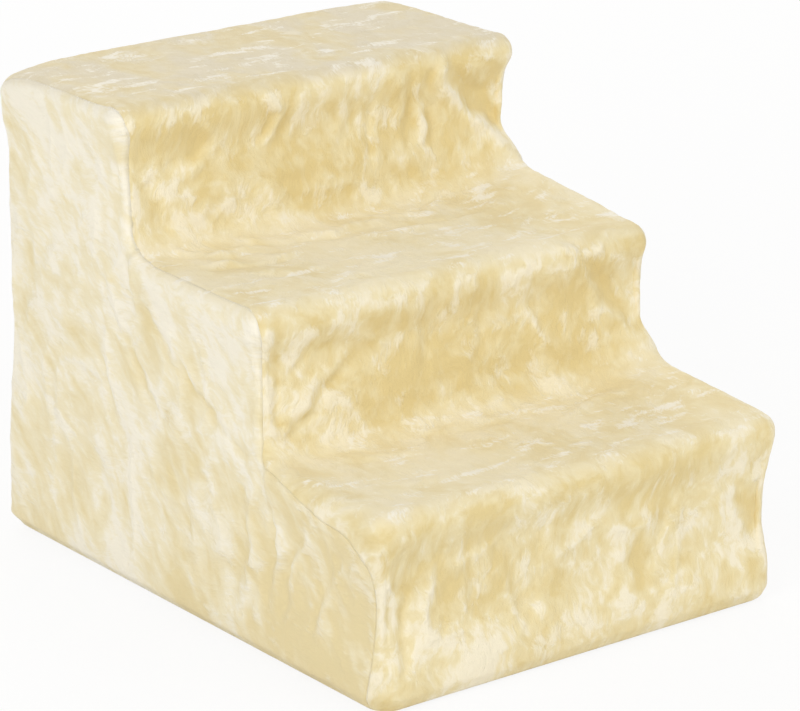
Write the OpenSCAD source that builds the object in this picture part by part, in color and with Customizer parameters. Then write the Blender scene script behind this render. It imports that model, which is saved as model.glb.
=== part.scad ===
// Plush-covered pet stairs: three moulded step boards on tube legs, two floor rails with cross tubes,
// and a loose sewn cover with a turned-under hem.
// Origin: middle of the footprint, on the floor. The stairs climb towards +Y, and +Z is up.

/* [Overall] */
// Depth from the front riser to the back, over the cover
stair_depth = 450; // [420:1:500]
// Width over the cover
stair_width = 345; // [310:1:400]
// Height of the top tread, over the cover
stair_height = 345; // [320:1:390]
// Height of the first tread; the other two share what is left
first_rise = 136; // [125:1:145]
// Depth of the first tread; the other two share what is left
first_going = 135; // [125:1:145]

/* [Cover] */
// Thickness of the plush, backing and pile together
cloth = 4; // [3:0.5:5]
// Radius of the cloth over the nose of a step
nose_r = 12; // [10:1:15]
// Radius at which the cloth bridges the foot of a riser
bridge_r = 22; // [15:1:28]
// Draw-in of a riser and of the back between their ends
riser_draw = 5; // [2:0.5:6]
// Draw-in of a side between the boards and the hem
side_draw = 2.5; // [1:0.5:3]
// Distance over which the draw-in of a side fades out
draw_fade = 60; // [40:5:80]
// Height of the main folds above the drawn-in cloth
fold_rise = 4; // [2:0.5:5]
// Half width of a main fold
fold_half = 16; // [12:1:24]
// Width over which the cloth thins towards a seam
seam_w = 7; // [5:0.5:9]
// Outer radius of the turned-under hem
hem_r = 8; // [7:0.5:10]
// Reach of the hem under the stairs
hem_reach = 14; // [13:0.5:15]
// Height of the hem above the floor
hem_lift = 0.5; // [0.3:0.1:1]
// Width of the elastic in the hem
elastic_w = 5; // [3:0.5:6]
// Thickness of the elastic
elastic_t = 1; // [0.8:0.1:1.2]

/* [Step boards] */
// Thickness of a board's top wall
board_top = 3; // [2:0.5:4]
// Thickness of a board's skirt
board_wall = 2.5; // [2:0.5:3]
// Height of a board over its skirt
board_skirt = 18; // [15:1:22]
// Radius of a board's corners, seen from above
board_corner = 14; // [10:1:18]
// Thickness of the ribs below a board
rib_t = 1.8; // [1.2:0.2:2.4]
// Depth of the ribs below a board's top wall
rib_drop = 11; // [6:1:12]
// Width of a slot in the top wall
slot_w = 6; // [4:0.5:8]
// Length of a slot from end to end
slot_l = 26; // [20:1:30]
// Distance between the slots across the board
slot_pitch_x = 22; // [18:1:28]
// Distance between the slots along the board's depth
slot_pitch_y = 34; // [32:1:40]
// Bare border round the slots
slot_border = 12; // [10:1:16]

/* [Legs] */
// Outer diameter of a leg tube
leg_d = 25; // [22:0.5:27]
// Wall of a leg tube
leg_wall = 2; // [1.5:0.25:3]
// Distance of a leg's centre from the edges of its board
leg_inset = 22; // [20:0.5:24]
// Wall of the sockets and cups that hold the legs
socket_wall = 2.8; // [2:0.2:3.2]
// Depth of a board's socket below its top face
socket_drop = 30; // [24:1:36]

/* [Base] */
// Height of a rubber foot below its rail
foot_h = 7; // [6.5:0.5:9]
// Diameter of a rubber foot
foot_d = 22; // [18:1:23]
// Diameter of the stem that holds a foot
stem_d = 6; // [5:0.5:8]
// Width of a floor rail
rail_w = 36; // [34:0.5:37]
// Height of a floor rail
rail_h = 24; // [23:1:28]
// Thickness of a rail's top wall
rail_top = 3; // [2:0.5:4]
// Thickness of a rail's side walls and of its ribs
rail_wall = 2.2; // [1.8:0.2:2.6]
// Radius of a rail's ends, seen from above
rail_corner = 15; // [12:1:16]
// Radius of a rail's upper edge
rail_edge = 3.5; // [3:0.5:5]
// Thickness of a leg cup's floor
cup_floor = 3; // [2:0.5:4]
// Height of a leg cup above its rail
cup_rise = 14; // [8:1:20]
// Outer diameter of a cross tube
cross_d = 16; // [14:0.5:17]
// Wall of a cross tube
cross_wall = 1.5; // [1:0.25:2]
// Reach of a cross tube's boss beyond its rail
boss_out = 12; // [8:1:16]
// Depth to which a cross tube goes into its boss
boss_hold = 24; // [18:1:28]

/* [Hidden] */
// Clearances: cloth to frame, cloth to cloth, tube in its socket, board to board
slack = 0.3;
seam_gap = 0.3;
fit = 0.2;
board_joint = 0.5;
// One overrun for all cuts
over = 1;
// How far a rib of a board runs into the walls that it joins
rib_bite = 0.8;

// Cells of the cloth's mesh: along a riser, a tread, the top and the back, and round each bend
riser_cells = 4;
tread_cells = 3;
top_cells = 1;
back_cells = 7;
nose_cells = 4;
bridge_cells = 3;
hem_cells = 2;
// Cells from side to side of a strip, and from the outer edge of a side to its steps
across_cells = 12;
side_cells = 9;
// Slanting waves in a side: how much they add to the draw-in, and their length as a share of the depth
wave_share = 0.35;
wave_length_share = 0.3;
// How much the cloth thins where it is turned in at a seam
seam_thin_share = 0.5;

skin = cloth + slack;
front = -stair_depth / 2;
back = stair_depth / 2;
rise = (stair_height - first_rise) / 2;
going = (stair_depth - first_going) / 2;
// Outer height of each tread, outer plane of each riser
levels = [first_rise, first_rise + rise, stair_height];
risers = [front, front + first_going, front + first_going + going];
last = len(levels) - 1;
// Below the nose the cloth lies on the board's skirt, and draws in under it
lip_drop = skin + board_skirt;
// A board's upper edge is rounded about the same centre as the cloth over it
board_edge = nose_r - skin;
hem_top = hem_lift + hem_r;
hem_run = hem_reach - hem_r;
hem_flat = hem_run + hem_r * PI / 2;
side_edge = stair_width / 2 - cloth - seam_gap;
flat_rise = hem_flat - hem_top;

board_w = stair_width - 2 * skin;
board_y = [
    for (i = [0 : last])
        [risers[i] + skin, i < last ? risers[i + 1] + skin - board_joint : back - skin]
];
board_z = [for (h = levels) h - skin];
leg_x = board_w / 2 - leg_inset;
leg_rows = [for (y = board_y) [y[0] + leg_inset, y[1] - leg_inset]];
leg_z = foot_h + cup_floor;
socket_d = leg_d + 2 * fit + 2 * socket_wall;
rail_z = foot_h + rail_h;
rail_y = [leg_rows[0][0] - rail_w / 2, leg_rows[last][1] + rail_w / 2];
// The cross tubes lie under the middle of each board
cross_rows = [for (y = leg_rows) (y[0] + y[1]) / 2];
cross_z = foot_h + rail_h / 2;
boss_d = cross_d + 2 * fit + 2 * rail_wall;
boss_mouth = leg_x - rail_w / 2 - boss_out;
// Ribs inside a rail stand on both sides of each boss, this share of its diameter from its middle
rail_rib_share = 0.75;
// Feet stand under the first, the fourth and the last leg of each rail
foot_rows = [leg_rows[0][0], leg_rows[1][1], leg_rows[last][1]];
// Bevel of a foot's lower edge, and the barb that keeps its stem in the rail
foot_bevel = 1;
barb = 0.9;
barb_rise = 3;

// Main folds of the step panel. Each has its stretch (even: risers, odd: treads, counted from the floor),
// then where it starts and ends, as shares of that stretch's length and of half the width, and the share
// of fold_rise that it reaches.
fold_shares = [
    [0, 0.2, -0.62, 0.8, -0.66, 0.8],
    [0, 0.25, 0.3, 0.75, 0.22, 0.6],
    [2, 0.15, -0.92, 0.6, -0.5, 1],
    [2, 0.6, -0.85, 0.85, -0.45, 0.7],
    [2, 0.2, 0.75, 0.8, 0.5, 0.6],
    [3, 0.85, -0.8, 0.7, 0, 0.8],
    [4, 0.1, 0.92, 0.9, 0.55, 1],
    [4, 0.25, -0.3, 0.7, -0.6, 0.6],
];

level_names = ["low", "middle", "top"];
end_names = ["front", "rear"];
side_names = ["left", "right"];
cross_names = ["front", "middle", "rear"];

function board_name(i) = str("tread_board_", level_names[i]);
function leg_name(i, e, s) = str("leg_", level_names[i], "_", end_names[e], "_", side_names[s]);
function rail_name(s) = str("base_rail_", side_names[s]);
function cross_name(i) = str("cross_tube_", cross_names[i]);
function side_name(s) = str("cover_side_", side_names[s]);
function side_sign(s) = s == 0 ? -1 : 1;

plush = [0.95, 0.9, 0.75];
board_grey = [0.86, 0.86, 0.84];
tube_white = [0.94, 0.94, 0.92];
rubber_grey = [0.22, 0.22, 0.23];
band_white = [0.9, 0.9, 0.88];
round_fn = 64;
small_fn = 32;

// Outlines of the cloth. A point is [y, z, cut, stretch, share, length]: its place, how far the hem's ends
// are cut back there, and the stretch that it lies on, with how far along it the point is.
function place(p, cut = 0) = [p[0], p[1], cut, -1, 0, 1];

function run(a, b, cells, draw = [0, 0], stretch = -1) = [
    for (i = [0 : cells - 1])
        let (t = i / cells, p = a + (b - a) * t + draw * sin(180 * t))
            [p[0], p[1], 0, stretch, t, norm(b - a)]
];

function bend(centre, r, from, to, cells) = [
    for (i = [0 : cells - 1])
        let (a = from + (to - from) * i / cells)
            place(centre + r * [cos(a), sin(a)])
];

// The hem from its edge to just below its top: how far in it lies, its height, its length from the edge
function hem_points() = concat(
    [[hem_reach, hem_lift, 0]],
    [
        for (i = [0 : hem_cells - 1])
            let (a = 90 - 90 * i / hem_cells)
                [hem_r * (1 - cos(a)), hem_top - hem_r * sin(a), hem_run + hem_r * (90 - a) * PI / 180]
    ]
);

function front_hem() = [for (h = hem_points()) place([front + h[0], h[1]], h[0])];
function back_hem() = let (h = hem_points()) [
    for (i = [len(h) - 1 : -1 : 0]) place([back - h[i][0], h[i][1]], h[i][0])
];

function riser_path(i) = concat(
    run(
        [risers[i], i == 0 ? hem_top : levels[i - 1] + bridge_r],
        [risers[i], levels[i] - lip_drop],
        riser_cells, [riser_draw, 0], 2 * i
    ),
    [place([risers[i], levels[i] - lip_drop])],
    bend([risers[i] + nose_r, levels[i] - nose_r], nose_r, 180, 90, nose_cells)
);

function tread_path(i) = concat(
    run(
        [risers[i] + nose_r, levels[i]], [risers[i + 1] - bridge_r, levels[i]],
        tread_cells, [0, 0], 2 * i + 1
    ),
    bend([risers[i + 1] - bridge_r, levels[i] + bridge_r], bridge_r, 270, 360, bridge_cells)
);

function step_path() = concat(
    [for (i = [0 : last]) each (i < last ? concat(riser_path(i), tread_path(i)) : riser_path(i))],
    run(
        [risers[last] + nose_r, stair_height], [back - nose_r, stair_height],
        top_cells, [0, 0], 2 * last + 1
    ),
    bend([back - nose_r, stair_height - nose_r], nose_r, 90, 0, nose_cells),
    [place([back, stair_height - nose_r])]
);

function back_path() = concat(
    [place([back, stair_height - nose_r - seam_gap])],
    run([back, stair_height - lip_drop], [back, hem_top], back_cells, [-riser_draw, 0], 2 * last + 2),
    [place([back, hem_top])]
);

// Folds: a smooth ridge along a line on the cloth
function line_gap(p, a, b) =
    let (d = b - a, t = max(0, min(1, ((p - a) * d) / (d * d)))) norm(p - a - d * t);

function fold_height(point, x, folds) = len(folds) == 0 ? 0 : max([
    for (f = folds)
        f[0] != point[3] ? 0 :
        let (
            half = stair_width / 2,
            here = [point[4] * point[5], x],
            gap = line_gap(here, [f[1] * point[5], f[2] * half], [f[3] * point[5], f[4] * half])
        )
            fold_rise * f[5] * exp(-pow(gap / fold_half, 2)) * sin(180 * point[4])
]);

function outward(path, i) =
    let (
        a = path[max(i - 1, 0)],
        b = path[min(i + 1, len(path) - 1)],
        t = [b[0] - a[0], b[1] - a[1]]
    )
        [-t[1], t[0]] / norm(t);

// Share of a length at step k of count: one step of seam_w at each end, and equal steps between
function seam_share(k, count, length) =
    let (rim = min(seam_w, length / 4) / length)
        k == 0 ? 0 : k == count ? 1 : rim + (1 - 2 * rim) * (k - 1) / (count - 2);

// How far the cloth's faces lie below its outline: the outer face only where it thins at a seam
function face_depth(layer, at_seam) = layer == 1 ? cloth : at_seam ? cloth * seam_thin_share : 0;

// Closed cloth from its outer and inner points. The quads run round clockwise, seen from outside, and the
// loop runs along the cloth's edge in the same sense.
module cloth_shell(outer, inner, quads, loop) {
    n = len(outer);
    count = len(loop);
    faces = concat(
        [for (q = quads) each [[q[0], q[1], q[2]], [q[0], q[2], q[3]]]],
        [for (q = quads) each [[q[0] + n, q[2] + n, q[1] + n], [q[0] + n, q[3] + n, q[2] + n]]],
        [
            for (i = [0 : count - 1])
                let (a = loop[i], b = loop[(i + 1) % count])
                    each [[a, a + n, b + n], [a, b + n, b]]
        ]
    );
    polyhedron(concat(outer, inner), [for (f = faces) if (f[0] != f[1] && f[1] != f[2] && f[0] != f[2]) f]);
}

// A strip of cloth along a path in the YZ plane, between the two side panels
module cloth_strip(path, folds) {
    top = len(path) - 1;
    side = across_cells;
    function at(i, j) = i * (side + 1) + j;
    function face(layer) = [
        for (i = [0 : top], j = [0 : side])
            let (
                p = path[i],
                n = outward(path, i),
                edge = side_edge - p[2],
                x = edge * (2 * seam_share(j, side, 2 * edge) - 1),
                at_seam = j == 0 || j == side,
                lift = (at_seam ? 0 : fold_height(p, x, folds)) - face_depth(layer, at_seam)
            )
                [x, p[0] + n[0] * lift, p[1] + n[1] * lift]
    ];
    quads = [
        for (i = [0 : top - 1], j = [0 : side - 1])
            [at(i, j), at(i + 1, j), at(i + 1, j + 1), at(i, j + 1)]
    ];
    loop = concat(
        [for (i = [0 : top - 1]) at(i, 0)],
        [for (j = [0 : side - 1]) at(top, j)],
        [for (i = [top : -1 : 1]) at(i, side)],
        [for (j = [side : -1 : 1]) at(0, j)]
    );
    cloth_shell(face(0), face(1), quads, loop);
}

// Sides of the cover, laid out flat: [y, length from the hem's edge]
function on_flat(p) = [p[0], p[1] + flat_rise];

// A flat length from the hem's edge, folded up: how far in, how high, and the way to the cloth's inner face
function folded(w) =
    w >= hem_flat ? [0, w - flat_rise, 1, 0] :
    w <= hem_run ? [hem_reach - w, hem_lift, 0, 1] :
    let (a = (hem_flat - w) / hem_r * 180 / PI)
        [hem_r * (1 - cos(a)), hem_top - hem_r * sin(a), cos(a), sin(a)];

// Zones in which a side lies flat: on the boards, along the risers and the back, and by the rail
held = concat(
    [for (i = [0 : last]) [board_y[i][0], levels[i] - lip_drop, board_y[i][1], levels[i]]],
    [
        for (i = [0 : last])
            [risers[i], i == 0 ? 0 : levels[i - 1], risers[i] + skin + riser_draw, levels[i]]
    ],
    [[back - skin - riser_draw, 0, back, stair_height]],
    [[front, 0, back, rail_z]]
);

function zone_gap(y, z, r) = norm([max(r[0] - y, 0, y - r[2]), max(r[1] - z, 0, z - r[3])]);

function side_hollow(y, z) =
    let (
        near = min([for (r = held) zone_gap(y, z, r)]),
        t = min(1, near / draw_fade),
        wave = 1 + wave_share * sin(360 * (y + z) / (wave_length_share * stair_depth))
    )
        side_draw * wave * t * t * (3 - 2 * t);

// The left side: cells that run from its foot and its back up to the steps, and a hem folded under its foot
module cloth_side() {
    steps = [for (p = step_path()) on_flat(p)];
    far = len(steps) - 1;
    foot_cells = round(far * stair_depth / (stair_depth + stair_height));
    foot = [for (p = run([front, hem_flat], [back, hem_flat], foot_cells)) [p[0], p[1]]];
    rear = run(
        [back, hem_top], [back, stair_height - lip_drop],
        far - foot_cells - 1, [-riser_draw, 0]
    );
    corner = on_flat([back, stair_height - lip_drop]);
    base = concat(foot, [for (p = rear) on_flat(p)], [corner, steps[far]]);
    hem = hem_points();
    hem_last = len(hem) - 1;
    main_count = (far + 1) * (side_cells + 1);
    function at(i, k) = i * (side_cells + 1) + (i == 0 || i == far ? 0 : k);
    function hem_at(i, j) = j == 0 ? at(i, 0) : main_count + (j - 1) * (foot_cells + 1) + i;
    function spot(flat, layer, at_seam) =
        let (f = folded(flat[1]), d = side_hollow(flat[0], f[1]) + face_depth(layer, at_seam))
            [f[0] + f[2] * d - stair_width / 2, flat[0], f[1] + f[3] * d];
    function face(layer) = concat(
        [
            for (i = [0 : far], k = [0 : side_cells])
                let (
                    way = steps[i] - base[i],
                    t = norm(way) == 0 ? 0 : seam_share(k, side_cells, norm(way))
                )
                    spot(base[i] + way * t, layer, k == side_cells || i >= foot_cells && k == 0 || i == 0)
        ],
        [
            for (j = [1 : hem_last + 1], i = [0 : foot_cells])
                let (h = hem[hem_last + 1 - j], shrink = (back - h[0]) / back)
                    spot([base[i][0] * shrink, h[2]], layer, i == 0 || i == foot_cells || j == hem_last + 1)
        ]
    );
    quads = concat(
        [
            for (i = [0 : far - 1], k = [0 : side_cells - 1])
                [at(i, k), at(i + 1, k), at(i + 1, k + 1), at(i, k + 1)]
        ],
        [
            for (j = [0 : hem_last], i = [0 : foot_cells - 1])
                [hem_at(i, j + 1), hem_at(i + 1, j + 1), hem_at(i + 1, j), hem_at(i, j)]
        ]
    );
    loop = concat(
        [for (i = [0 : foot_cells]) hem_at(i, hem_last + 1)],
        [for (j = [hem_last : -1 : 1]) hem_at(foot_cells, j)],
        [for (i = [foot_cells : far]) at(i, 0)],
        [for (i = [far - 1 : -1 : 0]) at(i, side_cells)],
        [for (j = [1 : hem_last]) hem_at(0, j)]
    );
    cloth_shell(face(0), face(1), quads, loop);
}

module cover_step_panel() {
    color(plush) cloth_strip(concat(front_hem(), step_path()), fold_shares);
}

module cover_back_panel() {
    color(plush) cloth_strip(concat(back_path(), back_hem()), []);
}

module cover_side(s) {
    color(plush) mirror([s, 0, 0]) cloth_side();
}

module rounded_plan(w, d, r) {
    square([w - 2 * r, d], center = true);
    square([w, d - 2 * r], center = true);
    for (x = [-1, 1], y = [-1, 1])
        translate([x * (w / 2 - r), y * (d / 2 - r)])
            circle(r, $fn = round_fn);
}

module hem_elastic() {
    inset = hem_reach - elastic_w;
    color(band_white)
        translate([0, 0, hem_lift + cloth + slack])
            linear_extrude(elastic_t)
                difference() {
                    rounded_plan(stair_width - 2 * inset, stair_depth - 2 * inset, hem_reach);
                    rounded_plan(stair_width - 2 * hem_reach, stair_depth - 2 * hem_reach, inset);
                }
}

// Half of a profile with a rounded upper corner: x runs out from the middle to reach, and the top is at 0
module shoulder(reach, drop, r) {
    translate([0, -drop]) square([reach, drop - r]);
    translate([0, -r]) square([reach - r, r]);
    translate([reach - r, -r])
        intersection() {
            circle(r, $fn = small_fn);
            square(r);
        }
}

module crown(span, drop, r) {
    for (m = [0, 1])
        mirror([m, 0])
            shoulder(span / 2, drop, r);
}

// A block with rounded corners, seen from above, and a rounded upper edge
module soft_block(w, d, corner, drop, edge) {
    rotate([90, 0, 0])
        linear_extrude(d - 2 * corner, center = true)
            crown(w, drop, edge);
    rotate([90, 0, 90])
        linear_extrude(w - 2 * corner, center = true)
            crown(d, drop, edge);
    for (x = [-1, 1], y = [-1, 1])
        translate([x * (w / 2 - corner), y * (d / 2 - corner), 0])
            rotate_extrude($fn = round_fn)
                shoulder(corner, drop, edge);
}

// The same block hollowed from below
module tray(w, d, corner, drop, top, wall, edge) {
    difference() {
        soft_block(w, d, corner, drop, edge);
        translate([0, 0, -top])
            soft_block(w - 2 * wall, d - 2 * wall, corner - wall, drop - top + over, edge - wall);
    }
}

module slot() {
    square([slot_w, slot_l - slot_w], center = true);
    for (y = [-1, 1])
        translate([0, y * (slot_l - slot_w) / 2])
            circle(slot_w / 2, $fn = small_fn);
}

// Places of the slots in one direction: as many as the span takes, about the middle
function slot_places(span, size, pitch) =
    let (count = 1 + floor((span - 2 * slot_border - size) / pitch))
        [for (i = [0 : count - 1]) (i - (count - 1) / 2) * pitch];

// Places of the ribs: half-way between the slots and outside the last ones
function rib_places(slots, pitch) = concat([slots[0] - pitch / 2], [for (p = slots) p + pitch / 2]);

module board_sockets(depth, cut) {
    for (x = [-1, 1], y = [-1, 1])
        translate([x * leg_x, y * (depth / 2 - leg_inset), 0])
            if (cut)
                translate([0, 0, -socket_drop - over])
                    cylinder(h = socket_drop + over - board_top, d = leg_d + 2 * fit, $fn = round_fn);
            else
                translate([0, 0, -socket_drop])
                    cylinder(h = socket_drop - board_top / 2, d = socket_d, $fn = round_fn);
}

// Profile of a rib that fills the upper part of a tray's inside and runs a little into its walls
module rib_profile(span) {
    into = board_wall - rib_bite;
    translate([0, rib_bite - board_top])
        crown(span - 2 * into, rib_drop + rib_bite, board_edge - into);
}

module board_ribs(depth, slots_x, slots_y) {
    for (x = concat(rib_places(slots_x, slot_pitch_x), [-leg_x, leg_x]))
        translate([x, 0, 0])
            rotate([90, 0, 90])
                linear_extrude(rib_t, center = true)
                    rib_profile(depth);
    for (y = concat(rib_places(slots_y, slot_pitch_y), [-1, 1] * (depth / 2 - leg_inset)))
        translate([0, y, 0])
            rotate([90, 0, 0])
                linear_extrude(rib_t, center = true)
                    rib_profile(board_w);
}

// A moulded step board: slotted top wall, rounded rim, ribs below and four sockets for its legs
module tread_board(i) {
    depth = board_y[i][1] - board_y[i][0];
    // The slots keep clear of the sockets, so they lie between them
    slots_x = slot_places(2 * leg_x - socket_d, slot_w, slot_pitch_x);
    slots_y = slot_places(depth, slot_l, slot_pitch_y);
    color(board_grey)
        translate([0, (board_y[i][0] + board_y[i][1]) / 2, board_z[i]])
            difference() {
                union() {
                    difference() {
                        tray(board_w, depth, board_corner, board_skirt, board_top, board_wall, board_edge);
                        for (x = slots_x, y = slots_y)
                            translate([x, y, -board_top - over])
                                linear_extrude(board_top + 2 * over)
                                    slot();
                    }
                    board_ribs(depth, slots_x, slots_y);
                    board_sockets(depth, false);
                }
                board_sockets(depth, true);
            }
}

module tube(length, outer, wall) {
    linear_extrude(length)
        difference() {
            circle(outer / 2, $fn = round_fn);
            circle(outer / 2 - wall, $fn = round_fn);
        }
}

// A leg stands on its cup's floor and ends under its board's top wall
module leg(i, e, s) {
    color(tube_white)
        translate([side_sign(s) * leg_x, leg_rows[i][e], leg_z])
            tube(board_z[i] - board_top - leg_z, leg_d, leg_wall);
}

module along_x(sign) {
    rotate([0, sign * 90, 0])
        children();
}

// A floor rail: an open tray turned down, a cup for each leg and a boss for each cross tube
module base_rail(s) {
    sign = side_sign(s);
    length = rail_y[1] - rail_y[0];
    rows = [for (y = leg_rows) each y];
    rib_z = rail_h - rail_top / 2;
    rib_reach = rib_bite - rail_wall;
    color(board_grey)
        difference() {
            union() {
                translate([sign * leg_x, (rail_y[0] + rail_y[1]) / 2, rail_z]) {
                    tray(rail_w, length, rail_corner, rail_h, rail_top, rail_wall, rail_edge);
                    translate([0, 0, -rail_top / 2 - rib_z / 2])
                        cube([rail_wall, length + 2 * rib_reach, rib_z], center = true);
                }
                for (y = rows)
                    translate([sign * leg_x, y, foot_h])
                        cylinder(h = rail_h + cup_rise, d = socket_d, $fn = round_fn);
                for (y = cross_rows)
                    translate([sign * boss_mouth, y, cross_z])
                        along_x(sign)
                            cylinder(h = boss_hold + rail_wall, d = boss_d, $fn = round_fn);
                for (y = cross_rows, e = [-1, 1])
                    translate([sign * leg_x, y + e * boss_d * rail_rib_share, foot_h + rib_z / 2])
                        cube([rail_w + 2 * rib_reach, rail_wall, rib_z], center = true);
            }
            for (y = rows)
                translate([sign * leg_x, y, leg_z])
                    cylinder(h = rail_h + cup_rise, d = leg_d + 2 * fit, $fn = round_fn);
            for (y = foot_rows)
                translate([sign * leg_x, y, foot_h - over])
                    cylinder(h = cup_floor + 2 * over, d = stem_d + 2 * fit, $fn = small_fn);
            for (y = cross_rows)
                translate([sign * (boss_mouth - over), y, cross_z])
                    along_x(sign)
                        cylinder(h = boss_hold + over, d = cross_d + 2 * fit, $fn = round_fn);
        }
}

module cross_tube(i) {
    reach = boss_mouth + boss_hold;
    color(tube_white)
        translate([-reach, cross_rows[i], cross_z])
            along_x(1)
                tube(2 * reach, cross_d, cross_wall);
}

module rubber_foot() {
    neck = foot_h + cup_floor;
    rotate_extrude($fn = round_fn)
        polygon([
            [0, 0],
            [foot_d / 2 - foot_bevel, 0],
            [foot_d / 2, foot_bevel],
            [foot_d / 2, foot_h],
            [stem_d / 2, foot_h],
            [stem_d / 2, neck],
            [stem_d / 2 + barb, neck],
            [stem_d / 2, neck + barb_rise],
            [0, neck + barb_rise]
        ]);
}

module rubber_feet() {
    color(rubber_grey)
        for (s = [0, 1], y = foot_rows)
            translate([side_sign(s) * leg_x, y, 0])
                rubber_foot();
}

cover_step_panel();
for (s = [0, 1]) cover_side(s);
cover_back_panel();
hem_elastic();
for (i = [0 : last]) tread_board(i);
for (i = [0 : last], e = [0, 1], s = [0, 1]) leg(i, e, s);
for (s = [0, 1]) base_rail(s);
for (i = [0 : last]) cross_tube(i);
rubber_feet();
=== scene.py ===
"""Looks of the plush pet stairs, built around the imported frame."""

import logging
import math
from dataclasses import dataclass
from enum import Enum
from typing import Optional, Sequence, Tuple, Union

import bpy
import numpy as np
from mathutils import Matrix, Vector
from mathutils.kdtree import KDTree


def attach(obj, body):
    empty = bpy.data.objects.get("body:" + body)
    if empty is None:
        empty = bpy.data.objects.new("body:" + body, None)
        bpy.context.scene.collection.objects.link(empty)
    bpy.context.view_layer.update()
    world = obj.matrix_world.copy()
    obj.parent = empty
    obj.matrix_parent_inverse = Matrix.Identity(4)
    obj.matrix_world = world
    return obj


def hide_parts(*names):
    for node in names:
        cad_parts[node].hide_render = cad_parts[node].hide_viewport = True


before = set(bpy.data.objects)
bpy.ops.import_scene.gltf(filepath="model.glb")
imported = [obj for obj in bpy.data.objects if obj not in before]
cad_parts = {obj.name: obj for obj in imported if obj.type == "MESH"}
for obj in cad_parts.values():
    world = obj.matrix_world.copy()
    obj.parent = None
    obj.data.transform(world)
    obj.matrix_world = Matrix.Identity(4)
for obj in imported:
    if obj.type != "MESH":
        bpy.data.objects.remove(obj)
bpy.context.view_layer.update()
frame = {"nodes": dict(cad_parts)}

LOG = logging.getLogger("pet_stairs")
MM = 0.001
WHITE = (1.0, 1.0, 1.0, 1.0)
# Fine cells along each side of a coarse one
FINE = 4
# Lattice points before the noise repeats, and what brings it to about -1 to 1
LATTICE = 256
FULL = 1.7
# Places that are worked out at a time
CHUNK = 4000
QUARTER = math.pi / 2

Array = np.ndarray
Pair = Tuple[float, float]
Triple = Tuple[float, float, float]
Value = Union[float, "Sock"]


class Side(Enum):
    """The two sides of the stairs, as the sign of X."""

    LEFT = -1
    RIGHT = 1


class Lay(Enum):
    """Which way a panel's pile lies, so that its patches and streaks follow it."""

    CLIMB = "along the steps"
    ACROSS = "across the side"
    DOWN = "down the back"


def smooth(x: Array, start: float, end: float) -> Array:
    """A soft step from 0 at start to 1 at end."""
    t = np.clip((np.asarray(x, float) - start) / (end - start), 0.0, 1.0)
    return t * t * (3.0 - 2.0 * t)


def bell(x: Array, middle: Union[float, Array], width: float) -> Array:
    """A soft bump of height 1 at middle."""
    return np.exp(-(((np.asarray(x, float) - middle) / width) ** 2))


def between(x: Array, rise: Pair, fall: Pair) -> Array:
    """A soft plateau of height 1, which starts over one span and ends over another."""
    return smooth(x, *rise) * (1.0 - smooth(x, *fall))


def linear(code: str) -> Tuple[float, float, float, float]:
    """A hex colour as Blender's linear colour.

    Args:
        code: six hex digits.

    Returns:
        Red, green, blue and alpha.
    """
    parts = [int(code[i : i + 2], 16) / 255.0 for i in (0, 2, 4)]
    red, green, blue = [c / 12.92 if c <= 0.04045 else ((c + 0.055) / 1.055) ** 2.4 for c in parts]
    return red, green, blue, 1.0


class Noise:
    """Gradient noise over points in millimetres, the same on each run."""

    def __init__(self, seed: int) -> None:
        """Shuffles the lattice.

        Args:
            seed: the number that its order follows from.
        """
        chance = np.random.default_rng(seed)
        self.order = chance.permutation(LATTICE)
        slopes = chance.normal(size=(LATTICE, 3))
        self.slopes = slopes / np.linalg.norm(slopes, axis=1, keepdims=True)

    def __call__(self, points: Array, size: Union[float, Sequence[float]]) -> Array:
        """Noise at each point.

        Args:
            points: places, in millimetres.
            size: size of a feature, alike in all directions or one for each.

        Returns:
            Values from about -1 to 1.
        """
        shape = points.shape[:-1]
        q = (points / np.asarray(size, float)).reshape(-1, 3)
        cell = np.floor(q).astype(int)
        f = q - cell
        ease = f * f * f * (f * (f * 6.0 - 15.0) + 10.0)
        total = np.zeros(len(q))
        for dx in (0, 1):
            hx = self.order[(cell[:, 0] + dx) & (LATTICE - 1)]
            wx = ease[:, 0] if dx else 1.0 - ease[:, 0]
            for dy in (0, 1):
                hy = self.order[(hx + cell[:, 1] + dy) & (LATTICE - 1)]
                wy = ease[:, 1] if dy else 1.0 - ease[:, 1]
                for dz in (0, 1):
                    hz = self.order[(hy + cell[:, 2] + dz) & (LATTICE - 1)]
                    wz = ease[:, 2] if dz else 1.0 - ease[:, 2]
                    slope = self.slopes[hz]
                    near = (
                        slope[:, 0] * (f[:, 0] - dx)
                        + slope[:, 1] * (f[:, 1] - dy)
                        + slope[:, 2] * (f[:, 2] - dz)
                    )
                    total += wx * wy * wz * near
        return (total * FULL).reshape(shape)

    def drift(self, points: Array, size: float, push: float, offsets: Triple) -> Array:
        """How slow noise pushes points about.

        Args:
            points: places, in millimetres.
            size: size of a feature.
            push: how far it pushes.
            offsets: where in the noise each axis is read.

        Returns:
            A move for each point.
        """
        return push * np.stack([self(points + offset, size) for offset in offsets], -1)


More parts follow.
